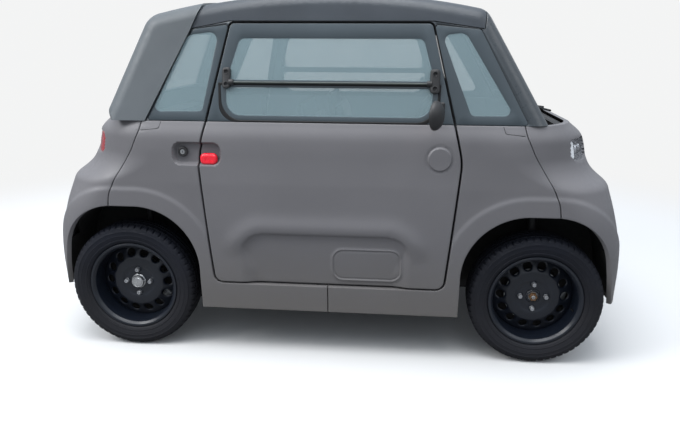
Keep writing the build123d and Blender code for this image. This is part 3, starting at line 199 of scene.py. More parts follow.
def signed_area(loop):
    x, y = loop[:, 0], loop[:, 1]
    return 0.5 * float(np.sum(x * np.roll(y, -1) - y * np.roll(x, -1)))


def edge_distance(points, loop, closed=True):
    """Nearest distance from each point to an outline."""
    a = loop if closed else loop[:-1]
    b = np.roll(loop, -1, 0) if closed else loop[1:]
    best = np.full(len(points), 1e9)
    for start in range(0, len(a), 64):
        p, q = a[start:start + 64], b[start:start + 64]
        d = q - p
        rel = points[:, None, :] - p[None]
        t = np.clip((rel * d).sum(2) / (d * d).sum(1), 0, 1)
        gap = rel - t[..., None] * d
        best = np.minimum(best, np.sqrt((gap * gap).sum(2)).min(1))
    return best


def inside(points, loop):
    """Which points lie inside an outline."""
    x, y = points[:, 0], points[:, 1]
    ax, ay = loop[:, 0], loop[:, 1]
    bx, by = np.roll(ax, -1), np.roll(ay, -1)
    hit = np.zeros(len(points), bool)
    for i in range(len(loop)):
        if ay[i] == by[i]:
            continue
        cross = (ay[i] > y) != (by[i] > y)
        hit ^= cross & (x < (bx[i] - ax[i]) * (y - ay[i]) / (by[i] - ay[i]) + ax[i])
    return hit


def inset_loop(loop, amount):
    """The outline moved inwards, corner by corner."""
    ahead = unit_rows(np.roll(loop, -1, 0) - loop)
    turn = unit_rows(ahead + np.roll(ahead, 1, 0))
    return loop + np.stack([-turn[:, 1], turn[:, 0]], 1) * amount


EDGE_ROUND = 2.6
EDGE_RINGS = (0.0, 0.5, 1.3, 2.7)


def flat_patch(loop, step, creases=(), edge_rings=EDGE_RINGS, holes=()):
    """Triangles filling an outline: fine rings along its edge, a grid inside."""
    if signed_area(loop) < 0:
        loop = loop[::-1]
    rings = [inset_loop(loop, d) for d in edge_rings]
    rings += [inset_loop(hole, -d) for hole in holes for d in edge_rings]
    points, edges = [], []
    for line in (*rings, *creases):
        base = len(points)
        points += list(line)
        edges += [(base + i, base + (i + 1) % len(line)) for i in range(len(line))]
    # A staggered grid of points, kept clear of the edges and the creases
    low, high = loop.min(0), loop.max(0)
    xs = np.arange(low[0] + step * 0.37, high[0], step)
    ys = np.arange(low[1] + step * 0.41, high[1], step * 0.87)
    grid = np.array([(x + (k % 2) * step / 2, y) for k, y in enumerate(ys) for x in xs])
    if len(grid):
        grid = grid[inside(grid, loop)]
    if len(grid):
        keep = edge_distance(grid, loop) > edge_rings[-1] + step * 0.45
        for crease in creases:
            keep &= edge_distance(grid, crease) > step * 0.4
        for hole in holes:
            keep &= ~inside(grid, hole) & (edge_distance(grid, hole) > edge_rings[-1] + step * 0.45)
        points += list(grid[keep])
    result = geometry.delaunay_2d_cdt([Vector(p) for p in points], edges, [], 1, 1e-5)
    flat = np.array([tuple(v) for v in result[0]])
    tris = np.array([f for f in result[2] if len(f) == 3])
    middle = flat[tris].mean(1)
    keep = inside(middle, loop)
    for hole in holes:
        keep &= ~inside(middle, hole)
    return flat, tris[keep], loop


def smoothstep(t):
    t = np.clip(t, 0, 1)
    return t * t * (3 - 2 * t)


def round_box(x, z, centre_x, centre_z, half_x, half_z, bend):
    """Signed distance to a rounded rectangle, negative inside."""
    dx = np.abs(x - centre_x) - half_x + bend
    dz = np.abs(z - centre_z) - half_z + bend
    return np.hypot(np.maximum(dx, 0), np.maximum(dz, 0)) + np.minimum(np.maximum(dx, dz), 0) - bend


def box_loop(centre_x, centre_z, half_x, half_z, bend, step):
    return rounded([
        (centre_x - half_x, centre_z - half_z, bend), (centre_x + half_x, centre_z - half_z, bend),
        (centre_x + half_x, centre_z + half_z, bend), (centre_x - half_x, centre_z + half_z, bend),
    ], step)


def circle_loop(x, z, radius, count=48):
    return np.stack([x + radius * np.cos(turns(count)), z + radius * np.sin(turns(count))], 1)


def new_object(name, mesh):
    piece = bpy.data.objects.new(name, mesh)
    scene.collection.objects.link(piece)
    return piece


def mesh_piece(name, verts, faces, material, sharp=32):
    """A mesh from millimetre points, smooth but for edges sharper than an angle."""
    mesh = bpy.data.meshes.new(name)
    mesh.from_pydata([tuple(v) for v in np.asarray(verts, float) * MM], [], [tuple(map(int, f)) for f in faces])
    mesh.validate()
    mesh.update()
    finish_mesh(mesh, material, sharp)
    return new_object(name, mesh)


def finish_mesh(mesh, material, sharp):
    mesh.materials.clear()
    mesh.materials.append(material)
    mesh.shade_smooth()
    mesh.set_sharp_from_angle(angle=math.radians(sharp))


def from_bmesh(name, bm, material, sharp, outward=True):
    if outward:
        bmesh.ops.recalc_face_normals(bm, faces=bm.faces)
    mesh = bpy.data.meshes.new(name)
    bm.to_mesh(mesh)
    bm.free()
    finish_mesh(mesh, material, sharp)
    return new_object(name, mesh)


def bake(piece, modifier):
    """Keeps what a modifier makes of a piece as the piece's own mesh."""
    ready = bpy.data.meshes.new_from_object(piece.evaluated_get(bpy.context.evaluated_depsgraph_get()))
    piece.modifiers.remove(modifier)
    piece.data = ready
    return ready


def wear(piece, body, slot, *nodes):
    """Seats a piece on its body and hides the nodes it stands for. The slot is not used."""
    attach(piece, body)
    if nodes:
        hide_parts(*nodes)
    return piece


def moved(piece, name, matrix, flip=False):
    """A twin of a piece, turned or mirrored in its mesh."""
    mesh = piece.data.copy()
    mesh.name = name
    mesh.transform(matrix)
    if flip:
        mesh.flip_normals()
    return new_object(name, mesh)


def joined(name, pieces):
    """Several pieces as one, keeping each one's materials."""
    bm = bmesh.new()
    materials = []
    for piece in pieces:
        start = len(bm.faces)
        bm.from_mesh(piece.data)
        bm.faces.ensure_lookup_table()
        slots = list(piece.data.materials)
        for m in slots:
            if m not in materials:
                materials.append(m)
        for face in bm.faces[start:]:
            face.material_index = materials.index(slots[min(face.material_index, len(slots) - 1)])
    mesh = bpy.data.meshes.new(name)
    bm.to_mesh(mesh)
    bm.free()
    for m in materials:
        mesh.materials.append(m)
    for piece in pieces:
        old = piece.data
        bpy.data.objects.remove(piece)
        bpy.data.meshes.remove(old)
    return new_object(name, mesh)


def counter_clockwise(loop):
    return loop if signed_area(loop) > 0 else loop[::-1]


def rim_faces(front, back, loop, shift):
    """Quads joining the outline on the skin to the outline on the wall behind."""
    def index(points):
        return [int(np.argmin(((points - p) ** 2).sum(1))) for p in loop]
    a, b = index(front), index(back)
    count = len(loop)
    return [(a[(i + 1) % count], a[i], b[i] + shift, b[(i + 1) % count] + shift) for i in range(count)]


def plate_faces(front, front_tris, back, back_tris, loops):
    """Faces of a closed plate: its skin, its back and the rims between them."""
    shift = len(front)
    faces = [tuple(t) for t in front_tris] + [tuple(t[::-1] + shift) for t in back_tris]
    for loop in loops:
        faces += rim_faces(front, back, loop, shift)
    return faces


def shell_piece(name, rows, front, back, material, step, holes, rings, sharp=32):
    """A closed plate over an outline in (x, z), its two faces given as depths along Y."""
    loop = counter_clockwise(rows if isinstance(rows, np.ndarray) else rounded(rows, 4.0))
    holes = [counter_clockwise(hole if isinstance(hole, np.ndarray) else rounded(hole, 4.0)) for hole in holes]
    flat, tris, loop = flat_patch(loop, step, edge_rings=rings, holes=holes)
    far, far_tris, _ = flat_patch(loop, step * 2, edge_rings=(0.0,), holes=holes)
    edge = edge_distance(flat, loop)
    for hole in holes:
        edge = np.minimum(edge, edge_distance(flat, hole))
    verts = np.concatenate([
        np.stack([flat[:, 0], -front(flat[:, 0], flat[:, 1], edge), flat[:, 1]], 1),
        np.stack([far[:, 0], -back(far[:, 0], far[:, 1]), far[:, 1]], 1),
    ])
    faces = plate_faces(flat, tris, far, far_tris, [loop, *(hole[::-1] for hole in holes)])
    return mesh_piece(name, verts, faces, material, sharp)


def turned(name, section, material, count, sharp=30, falls=None):
    """A closed section of (radius, outward) points turned about the Y axis, outward being -Y."""
    section = np.array(section, float)
    around = turns(count)
    radius = np.repeat(section[None, :, 0], count, 0)
    if falls is not None:
        radius = radius - falls(np.arange(count)[:, None], np.arange(len(section))[None, :])
    verts = np.stack([
        radius * np.cos(around)[:, None],
        np.repeat(-section[None, :, 1], count, 0),
        radius * np.sin(around)[:, None],
    ], -1).reshape(-1, 3)
    rows = len(section)
    faces = []
    for i in range(count):
        a, b = i * rows, ((i + 1) % count) * rows
        faces += [(a + j, a + (j + 1) % rows, b + (j + 1) % rows, b + j) for j in range(rows)]
    if signed_area(section) > 0:
        faces = [face[::-1] for face in faces]
    return mesh_piece(name, verts, faces, material, sharp)


def domed(name, section, material, count, sharp=30):
    """An open section from the axis out and back to it, turned about Y and closed at both ends."""
    section = np.array(section, float)
    whole = np.concatenate([[(0.001, section[0, 1])], section, [(0.001, section[-1, 1])]])
    piece = turned(name, whole, material, count, sharp)
    bm = bmesh.new()
    bm.from_mesh(piece.data)
    bmesh.ops.remove_doubles(bm, verts=bm.verts, dist=4e-6)
    bmesh.ops.dissolve_degenerate(bm, edges=bm.edges, dist=1e-7)
    bmesh.ops.recalc_face_normals(bm, faces=bm.faces)
    bm.to_mesh(piece.data)
    bm.free()
    finish_mesh(piece.data, material, sharp)
    return piece


# A direction that none of the bars runs along
OFF_AXIS = (0.13, 0.31, 0.94)


def tube(name, path, radius, material, sides):
    """A round bar along a list of points in millimetres."""
    path = np.array(path, float)
    count = len(path)
    ahead = np.roll(path, -1, 0) - np.roll(path, 1, 0)
    ahead[0], ahead[-1] = path[1] - path[0], path[-1] - path[-2]
    ahead = unit_rows(ahead)
    across = np.cross(ahead[0], OFF_AXIS)
    rings = []
    for k in range(count):
        across = across - ahead[k] * (across @ ahead[k])
        across /= np.linalg.norm(across)
        other = np.cross(ahead[k], across)
        turn = turns(sides)[:, None]
        rings.append(path[k] + radius * (np.cos(turn) * across + np.sin(turn) * other))
    verts = np.concatenate(rings)
    faces = []
    for k in range(count - 1):
        a, b = k * sides, (k + 1) * sides
        faces += [(a + j, a + (j + 1) % sides, b + (j + 1) % sides, b + j) for j in range(sides)]
    faces += [tuple(range(sides))[::-1], tuple((count - 1) * sides + j for j in range(sides))]
    return mesh_piece(name, verts, faces, material, 40)


def soft_block(name, low, high, bend, material, levels):
    """A block with rounded edges and corners, between two corners in millimetres."""
    bm = bmesh.new()
    bmesh.ops.create_cube(bm, size=1)
    low, high = np.array(low, float), np.array(high, float)
    for v in bm.verts:
        v.co = Vector((low + (high - low) * (np.array(v.co) + 0.5)) * MM)
    bmesh.ops.bevel(bm, geom=list(bm.edges), offset=bend * MM, segments=levels, profile=0.5, affect="EDGES")
    return from_bmesh(name, bm, material, 50)


MIRROR_Y = Matrix.Diagonal((1, -1, 1, 1))
MIRROR_X = Matrix.Diagonal((-1, 1, 1, 1))
HALF_TURN = Matrix.Rotation(math.pi, 4, "Z")
QUARTER_TURN = Matrix.Rotation(math.pi / 2, 4, "Z")


# Finishes


def add_node(tree, kind, inputs, **settings):
    """A new node with its settings, its inputs taking a link or a plain value."""
    node = tree.nodes.new(kind)
    for name, value in settings.items():
        setattr(node, name, value)
    for socket, value in inputs.items():
        if isinstance(value, bpy.types.NodeSocket):
            tree.links.new(value, node.inputs[socket])
        else:
            node.inputs[socket].default_value = value
    return node


def principled(name, color, roughness, metallic=0.0, specular=0.5, coat=0.0, alpha=1.0):
    material = bpy.data.materials.new(name)
    material.use_nodes = True
    tree = material.node_tree
    shader = tree.nodes["Principled BSDF"]
    for socket, value in (
        ("Base Color", (*color, 1)), ("Roughness", roughness), ("Metallic", metallic), ("Alpha", alpha),
        ("Specular IOR Level", specular), ("Coat Weight", coat), ("Coat Roughness", 0.08),
    ):
        shader.inputs[socket].default_value = value
    return material, tree, shader


def noise(tree, coords, scale, detail, rough=0.55):
    return add_node(tree, "ShaderNodeTexNoise", {
        "Vector": coords, "Scale": scale, "Detail": detail, "Roughness": rough,
    }).outputs["Fac"]


def ramp(tree, value, low, high, from_low, from_high):
    return add_node(tree, "ShaderNodeMapRange", {
        "Value": value, "From Min": from_low, "From Max": from_high, "To Min": low, "To Max": high,
    }).outputs["Result"]


def calculate(tree, operation, *values):
    inputs = dict(enumerate(values))
    return add_node(tree, "ShaderNodeMath", inputs, operation=operation).outputs[0]


def mix_color(tree, factor, low, high):
    """Blends two colours, which a mix node takes at its sockets 6 and 7."""
    low, high = ((*c, 1) if isinstance(c, tuple) else c for c in (low, high))
    return add_node(tree, "ShaderNodeMix", {0: factor, 6: low, 7: high}, data_type="RGBA").outputs[2]


def scaled(color, share):
    return tuple(min(1, c * share) for c in color)


def bump(tree, shader, height, strength, distance):
    node = add_node(tree, "ShaderNodeBump", {"Height": height, "Strength": strength, "Distance": distance})
    tree.links.new(node.outputs["Normal"], shader.inputs["Normal"])


def object_coords(tree):
    return tree.nodes.new("ShaderNodeTexCoord").outputs["Object"]


def moulded(name, color, roughness, grain, relief, mottle, specular=0.45, dust=None):
    """Moulded plastic: cloudy tone, fine grain, uneven sheen and dust low down."""
    material, tree, shader = principled(name, color, roughness, specular=specular)
    coords = object_coords(tree)
    clouds = ramp(tree, noise(tree, coords, 3.2, 3), 0, 1, 0.3, 0.7)
    tone = mix_color(tree, clouds, scaled(color, 1 - mottle), scaled(color, 1 + mottle))
    if dust:
        height = add_node(tree, "ShaderNodeSeparateXYZ", {0: coords}).outputs["Z"]
        patchy = calculate(tree, "MULTIPLY_ADD", noise(tree, coords, 22, 5, 0.7), -0.22, height)
        tone = mix_color(tree, ramp(tree, patchy, 0.55, 0.0, 0.08, 0.42), tone, dust)
    tree.links.new(tone, shader.inputs["Base Color"])
    sheen = noise(tree, coords, 45, 3)
    tree.links.new(ramp(tree, sheen, roughness - 0.05, roughness + 0.07, 0.3, 0.7), shader.inputs["Roughness"])
    bump(tree, shader, noise(tree, coords, grain, 2), relief, 0.0004)
    return material


def metal_finish(name, color, roughness, grain=260.0, relief=0.1, metallic=1.0):
    """Machined or painted metal with fine marks."""
    material, tree, shader = principled(name, color, roughness, metallic=metallic)
    coords = object_coords(tree)
    marks = noise(tree, coords, grain, 3)
    tree.links.new(ramp(tree, marks, roughness * 0.8, roughness * 1.25, 0.3, 0.7), shader.inputs["Roughness"])
    worn = ramp(tree, noise(tree, coords, 18, 4), 0, 1, 0.3, 0.75)
    tree.links.new(mix_color(tree, worn, scaled(color, 0.8), color), shader.inputs["Base Color"])
    bump(tree, shader, marks, relief, 0.0003)
    return material


def glazing(name, color, alpha, roughness=0.03):
    """Tinted glass with a faint film of dust."""
    material, tree, shader = principled(name, color, roughness, specular=0.9, coat=0.6, alpha=alpha)
    film = noise(tree, object_coords(tree), 9, 5, 0.65)
    tree.links.new(ramp(tree, film, alpha - 0.015, alpha + 0.03, 0.35, 0.75), shader.inputs["Alpha"])
    tree.links.new(ramp(tree, film, roughness, roughness + 0.05, 0.4, 0.8), shader.inputs["Roughness"])
    return material


def woven(name, color, pitch):
    """Seat cloth: crossed threads, soft fuzz and sheen."""
    material, tree, shader = principled(name, color, 0.9, specular=0.2)
    shader.inputs["Sheen Weight"].default_value = 0.35
    shader.inputs["Sheen Roughness"].default_value = 0.5
    coords = object_coords(tree)
    threads = [
        add_node(tree, "ShaderNodeTexWave", {"Vector": coords, "Scale": pitch, "Distortion": 1.2, "Detail": 1},
                 bands_direction=turn).outputs["Fac"]
        for turn in ("X", "Y", "Z")
    ]
    crossed = calculate(tree, "MULTIPLY", threads[0], threads[1])
    fuzz = ramp(tree, noise(tree, coords, 60, 4), 0, 1, 0.3, 0.7)
    tree.links.new(mix_color(tree, fuzz, scaled(color, 0.7), scaled(color, 1.3)), shader.inputs["Base Color"])
    bump(tree, shader, calculate(tree, "ADD", crossed, threads[2]), 0.35, 0.0006)
    return material


BODY_GREY = moulded("body_grey_matt", (0.127, 0.124, 0.131), 0.46, grain=1400, relief=0.06, mottle=0.035,
                    specular=0.42, dust=(0.13, 0.118, 0.102))
ROOF_SLATE = moulded("roof_slate_matt", (0.036, 0.043, 0.052), 0.42, grain=1200, relief=0.08, mottle=0.12,
                     specular=0.4)
TAIL_SLATE = moulded("tail_slate_matt", (0.084, 0.095, 0.103), 0.46, grain=1200, relief=0.1, mottle=0.14,
                     specular=0.4)
BLACK_TRIM = moulded("black_trim_grained", (0.018, 0.018, 0.019), 0.5, grain=700, relief=0.25, mottle=0.2)
PILLAR_SLATE = moulded("pillar_slate_satin", (0.034, 0.041, 0.047), 0.3, grain=60, relief=0.01, mottle=0.15,
                       specular=0.5)
BLACK_LINER = moulded("liner_black", (0.012, 0.012, 0.012), 0.8, grain=300, relief=0.6, mottle=0.3,
                      dust=(0.035, 0.031, 0.027))
FRAME_BLACK = metal_finish("frame_black_paint", (0.02, 0.02, 0.021), 0.5, metallic=0.2)
CABIN_DARK = moulded("cabin_dark_plastic", (0.035, 0.036, 0.038), 0.6, grain=500, relief=0.3, mottle=0.15)
RED_SHINE = moulded("handle_red", (0.80, 0.012, 0.03), 0.26, grain=80, relief=0.02, mottle=0.06, specular=0.6)
TYRE_RUBBER = moulded("tyre_rubber", (0.0058, 0.0072, 0.0125), 0.66, grain=1100, relief=0.3, mottle=0.3,
                      specular=0.22, dust=(0.020, 0.0195, 0.021))
WHEEL_BLACK = metal_finish("wheel_black_paint", (0.0064, 0.0092, 0.0160), 0.34, grain=900, relief=0.04, metallic=0.05)
STEEL = metal_finish("bare_steel", (0.42, 0.42, 0.43), 0.38)
NUT_ZINC = metal_finish("nut_zinc", (0.46, 0.47, 0.49), 0.36, grain=300, relief=0.15, metallic=0.8)
BRONZE = metal_finish("nut_bronze", (0.30, 0.18, 0.10), 0.42)
CAP_SILVER = metal_finish("cap_silver", (0.55, 0.56, 0.57), 0.3)
BRAKE_IRON = metal_finish("brake_iron", (0.16, 0.15, 0.145), 0.4, grain=500, relief=0.2, metallic=0.9)
CAST = metal_finish("cast_aluminium", (0.40, 0.41, 0.42), 0.55, grain=500, relief=0.5)
SIDE_GLASS = glazing("side_glass_tint", (0.235, 0.335, 0.365), 0.42)
GLASS_BORDER = moulded("glass_border_slate", (0.042, 0.055, 0.064), 0.2, grain=40, relief=0.005, mottle=0.08,
                       specular=0.55)
BAR_GREY = metal_finish("bar_grey_green", (0.055, 0.066, 0.062), 0.5, grain=300, relief=0.05, metallic=0.3)
DARK_GLASS = glazing("screen_glass_tint", (0.06, 0.085, 0.09), 0.5)
LAMP_CLEAR = glazing("lamp_clear", (0.5, 0.52, 0.55), 0.06, 0.02)
REFLECTOR = metal_finish("lamp_reflector", (0.42, 0.43, 0.45), 0.28, grain=40, relief=0.02, metallic=0.7)
LAMP_WHITE = moulded("lamp_bar_white", (0.82, 0.84, 0.86), 0.18, grain=120, relief=0.01, mottle=0.02)
LAMP_HOUSING = moulded("lamp_housing_grey", (0.10, 0.10, 0.11), 0.3, grain=200, relief=0.02, mottle=0.1)
LAMP_RED = glazing("lamp_red", (0.45, 0.01, 0.015), 0.8, 0.05)
MIRROR_FACE = metal_finish("mirror_face", (0.62, 0.42, 0.34), 0.05, grain=20, relief=0.0)
PLATE_WHITE = moulded("plate_white", (0.72, 0.72, 0.70), 0.35, grain=200, relief=0.02, mottle=0.03)
SEAT_CLOTH = woven("seat_cloth", (0.030, 0.031, 0.034), pitch=520.0)
SEAL_BLACK = moulded("seal_rubber", (0.0035, 0.0035, 0.004), 0.55, grain=400, relief=0.1, mottle=0.2, specular=0.3)


# Body panels

# Pressed and raised forms. Columns: middle x, middle z, half length, half height, corner round.
HANDLE_RECESS = (-533, 877, 103, 49, 38)
RECESS_DEPTH = 25
SCOOP = (-12, 240, 358, 317, 105)
RAISED_RING = (162, 424, 147, 74, 50)
BOSS_X, BOSS_Z, BOSS_RADIUS = 442, 874, 48


def handle_recess(x, z):
    """How far the skin is sunk in the recess that the door's handle and lock share."""
    return RECESS_DEPTH * smoothstep(-round_box(x, z, *HANDLE_RECESS) / 14)


def door_relief(x, z):
    """How far the door's skin is pressed in, in millimetres."""
    press = handle_recess(x, z)
    # A scoop that is deepest low down, with a soft swelling above its upper edge
    scoop = round_box(x, z, *SCOOP)
    run_out = 10 + 75 * smoothstep((530 - z) / 150)
    press = press + (9 + 8 * smoothstep((550 - z) / 220)) * smoothstep(-scoop / run_out)
    press = press - 11 * np.exp(-(((scoop - 22) / 40) ** 2)) * smoothstep((z - 430) / 110)
    # A raised field with a bead round it
    ring = round_box(x, z, *RAISED_RING)
    press = press - 2.4 * smoothstep(-(ring + 12) / 5) - 4.6 * np.exp(-(((ring + 5) / 4.6) ** 2))
    # A round boss with a groove round it
    boss = np.hypot(x - BOSS_X, z - BOSS_Z) - BOSS_RADIUS
    return press - 4.6 * smoothstep(-boss / 5) + 2.6 * np.exp(-(((boss - 2) / 3.0) ** 2))


ARCH_LINE = rounded([(545, 150, 0.1), (545, ARCH_TOP_Z, 268), (1102, ARCH_TOP_Z, 235), (1200, 150, 0.1)],
                    12, closed=False)
COVER_LINE = rounded([(681, 1006, 0.1), (690, 974, 10), (775, 969, 0.1)], 3, closed=False)


def wing_relief(x, z):
    """The step round the wheel arch, fading downwards, and the groove round the small cover."""
    points = np.stack([np.abs(x), z], 1)
    away = edge_distance(points, ARCH_LINE, closed=False)
    fade = smoothstep((z - 420) / 160)
    step = 6.0 * smoothstep((away - 66) / 20) * (1 - smoothstep((away - 90) / 170)) * fade
    groove = edge_distance(points, COVER_LINE, closed=False)
    return step + 1.5 * np.exp(-((groove / 2.0) ** 2))


def lip(distance):
    """Inward fall of a rounded edge at a distance from the outline."""
    near = np.clip(EDGE_ROUND - distance, 0, EDGE_ROUND)
    return EDGE_ROUND - np.sqrt(np.maximum(EDGE_ROUND**2 - near**2, 0))


def side_panel(name, rows, relief, creases=()):
    """A closed panel of the right side: pressed skin, rounded edge, flat inner wall."""
    loop = rounded(rows, 5.0)
    flat, tris, loop = flat_patch(loop, 7.0, creases)
    x, z = flat[:, 0], flat[:, 1]
    skin = side_y(x, z) - relief(x, z) - lip(edge_distance(flat, loop))
    back, back_tris, _ = flat_patch(loop, 60.0, edge_rings=(0.0,))
    above_bend = back[:, 1] - WALL_BEND_Z
    wall = np.minimum(SIDE_WALL_Y, SIDE_WALL_Y - above_bend * BELT_WALL_IN / (BELT_Z - WALL_BEND_Z))
    verts = np.concatenate([
        np.stack([x, -skin, z], 1), np.stack([back[:, 0], -wall, back[:, 1]], 1),
    ])
    return mesh_piece(name, verts, plate_faces(flat, tris, back, back_tris, [loop]), BODY_GREY)


def clipped(loops, rows, margin):
    """The loops that lie wholly inside an outline, at least a margin from its edge."""
    edge = rounded(rows, 5.0)
    return [c for c in loops if inside(c, edge).all() and edge_distance(c, edge).min() > margin]


door_creases = clipped([
    box_loop(*RAISED_RING[:2], *(size + d for size in RAISED_RING[2:]), 5) for d in (3, -2, -5, -8, -12, -17)
] + [circle_loop(BOSS_X, BOSS_Z, BOSS_RADIUS + d) for d in (3, 0, -6)], DOOR_EDGE, 4.0)
right_door = side_panel("right_door_skin", DOOR_EDGE, door_relief, door_creases)
left_door = moved(right_door, "left_door_skin", HALF_TURN)
wear(right_door, "right_door", "body_grey", "right_door_panel")
wear(left_door, "left_door", "body_grey", "left_door_panel")


def latch_wing_relief(x, z):
    """Relief of a wing on the latch side of its door, which carries the rest of the recess."""
    return wing_relief(x, z) + handle_recess(-x, z)


front_right = side_panel("front_right_wing_skin", WING_EDGE, wing_relief)
latch_right = side_panel("latch_side_wing", WING_EDGE, latch_wing_relief)
front_left = moved(latch_right, "front_left_wing_skin", MIRROR_Y, flip=True)
rear_right = moved(latch_right, "rear_right_wing_skin", MIRROR_X, flip=True)
rear_left = moved(front_right, "rear_left_wing_skin", HALF_TURN)
bpy.data.objects.remove(latch_right)
front_wings = joined("front_wing_skins", [front_right, front_left])
rear_wings = joined("rear_wing_skins", [rear_right, rear_left])
wear(front_wings, "car_body", "body_grey", "front_wings")
wear(rear_wings, "car_body", "body_grey", "rear_wings")

# Lamp and number plate. Columns: middle y, middle z, half width, half height, corner round.
LAMP = (500.0, 900.0, 76.0, 45.0, 24.0)
PLATE = (0.0, 520.0, 176.0, 61.0, 8.0)
LAMP_POCKET_DEPTH = 34
FASCIA_WALL = 20


def lamp_pocket(y, z):
    """How far the skin is sunk behind the two lamps."""
    return LAMP_POCKET_DEPTH * smoothstep(-(round_box(np.abs(y), z, *LAMP) - 1) / 5)


def fascia_panel(name):
    """Bumper and lamp pods: one skin wrapped round the end of the body."""
    side = rounded(FASCIA_SIDE, 6.0, closed=False)
    around = np.stack([wrap_from_side(side[:, 0], side[:, 1]), side[:, 1]], 1)
    bottom = np.linspace(around[-1, 0], -around[-1, 0], 300)[1:-1]
    top = np.linspace(-around[0, 0], around[0, 0], 300)[1:-1]
    left = around[::-1] * (-1, 1)
    loop = np.concatenate([
        around,
        np.stack([bottom, np.full(len(bottom), around[-1, 1])], 1),
        left,
        np.stack([top, np.full(len(top), around[0, 1])], 1),
    ])
    flat, tris, loop = flat_patch(loop, 8.0)
    s, z = flat[:, 0], flat[:, 1]
    x, y, out_x, out_y = wrap_point(s, z)
    press = np.where(np.abs(s) > 350, wing_relief(x, z), 0)
    plate = round_box(y, z, *PLATE)
    press = press + 6 * smoothstep(-plate / 6) * (np.abs(s) < 700)
    press = press + lip(edge_distance(flat, loop)) + lamp_pocket(y, z)
    verts = np.stack([x - press * out_x, y - press * out_y, z], 1)
    back, back_tris, _ = flat_patch(loop, 20.0, edge_rings=(0.0,))
    bx, by, ox, oy = wrap_point(back[:, 0], back[:, 1])
    deep = FASCIA_WALL + lamp_pocket(by, back[:, 1])
    inner = np.stack([bx - deep * ox, by - deep * oy, back[:, 1]], 1)
    faces = [face[::-1] for face in plate_faces(flat, tris, back, back_tris, [loop])]
    return mesh_piece(name, np.concatenate([verts, inner]), faces, BODY_GREY)


front_fascia = fascia_panel("front_fascia_skin")
rear_fascia = moved(front_fascia, "rear_fascia_skin", HALF_TURN)
wear(front_fascia, "car_body", "body_grey", "front_fascia")
wear(rear_fascia, "car_body", "body_grey", "rear_fascia")


# Parts of the solid model that keep their shape


def smoothed(node, name, material, slot):
    """A node's own shape with its surfaces shaded as they really curve."""
    bm = bmesh.new()
    bm.from_mesh(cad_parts[node].data)
    bmesh.ops.remove_doubles(bm, verts=bm.verts, dist=2e-5)
    bmesh.ops.dissolve_degenerate(bm, edges=bm.edges, dist=1e-6)
    piece = from_bmesh(name, bm, material, 30, outward=False)
    piece.modifiers.new("weighted", "WEIGHTED_NORMAL").keep_sharp = True
    wear(piece, "car_body", slot, node)


smoothed("roof_panel", "roof_skin", ROOF_SLATE, "roof_slate")
smoothed("rear_pillar_panel", "rear_pillar_skin", TAIL_SLATE, "roof_slate")
smoothed("pillar_frame", "pillar_skin", PILLAR_SLATE, "black_plastic")
smoothed("windscreen", "windscreen_glass", DARK_GLASS, "tinted_glass")
smoothed("rear_window", "rear_window_glass", DARK_GLASS, "tinted_glass")
smoothed("roof_glass", "roof_glass_pane", DARK_GLASS, "tinted_glass")


def dress(material, *nodes):
    """Gives nodes that keep their own mesh a better finish."""
    for node in nodes:
        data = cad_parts[node].data
        for i in range(len(data.materials)):
            data.materials[i] = material


dress(PILLAR_SLATE, "right_door_frame", "left_door_frame")
dress(BLACK_TRIM, "cowl_panel", "pedals", "steering_column", "steering_wheel", "interior_mirror")
dress(BLACK_LINER, "arch_liners")
dress(FRAME_BLACK, "chassis_frame", "door_posts", "lower_arms", "rear_axle", "rear_dampers", "drive_shafts",
      "battery_pack", "front_right_knuckle", "front_left_knuckle")
dress(CABIN_DARK, "cabin_tub", "seat_shells", "dashboard")
dress(PLATE_WHITE, "number_plates")
CORNERS = ("front_right", "front_left", "rear_right", "rear_left")
dress(CAST, "drive_motor", *(corner + "_hub" for corner in CORNERS))


# Repeats


def copies_tree(name, own_input, own_kind, points_for):
    """Copies a mesh to points. Inputs: the mesh, how many, the tree's own input, the finish."""
    tree = bpy.data.node_groups.new(name, "GeometryNodeTree")
    for label, kind in (("Geometry", "Geometry"), ("Count", "Int"), (own_input, own_kind), ("Finish", "Material")):
        tree.interface.new_socket(label, in_out="INPUT", socket_type="NodeSocket" + kind)
    tree.interface.new_socket("Geometry", in_out="OUTPUT", socket_type="NodeSocketGeometry")
    given = tree.nodes.new("NodeGroupInput").outputs
    copies = add_node(tree, "GeometryNodeInstanceOnPoints", {
        "Instance": given["Geometry"], **points_for(tree, given["Count"], given[own_input]),
    })
    real = add_node(tree, "GeometryNodeRealizeInstances", {0: copies.outputs[0]})
    finish = add_node(tree, "GeometryNodeSetMaterial", {"Geometry": real.outputs[0], "Material": given["Finish"]})
    add_node(tree, "NodeGroupOutput", {0: finish.outputs[0]})
    return tree


def round_axle_points(tree, count, first_turn):
    """Evenly spaced turns about the Y axis."""
    points = add_node(tree, "GeometryNodePoints", {"Count": count})
    share = calculate(tree, "DIVIDE", 2 * math.pi, count)
    index = tree.nodes.new("GeometryNodeInputIndex").outputs[0]
    turn = calculate(tree, "MULTIPLY_ADD", index, share, first_turn)
    return {"Points": points.outputs[0], "Rotation": add_node(tree, "ShaderNodeCombineXYZ", {"Y": turn}).outputs[0]}


def line_points(tree, count, step):
    """Places along a straight line."""
    return {"Points": add_node(tree, "GeometryNodeMeshLine", {"Count": count, "Offset": step}).outputs[0]}


ROUND_AXLE = copies_tree("copies_round_axle", "First Turn", "Float", round_axle_points)
ALONG_LINE = copies_tree("copies_along_line", "Step", "Vector", line_points)


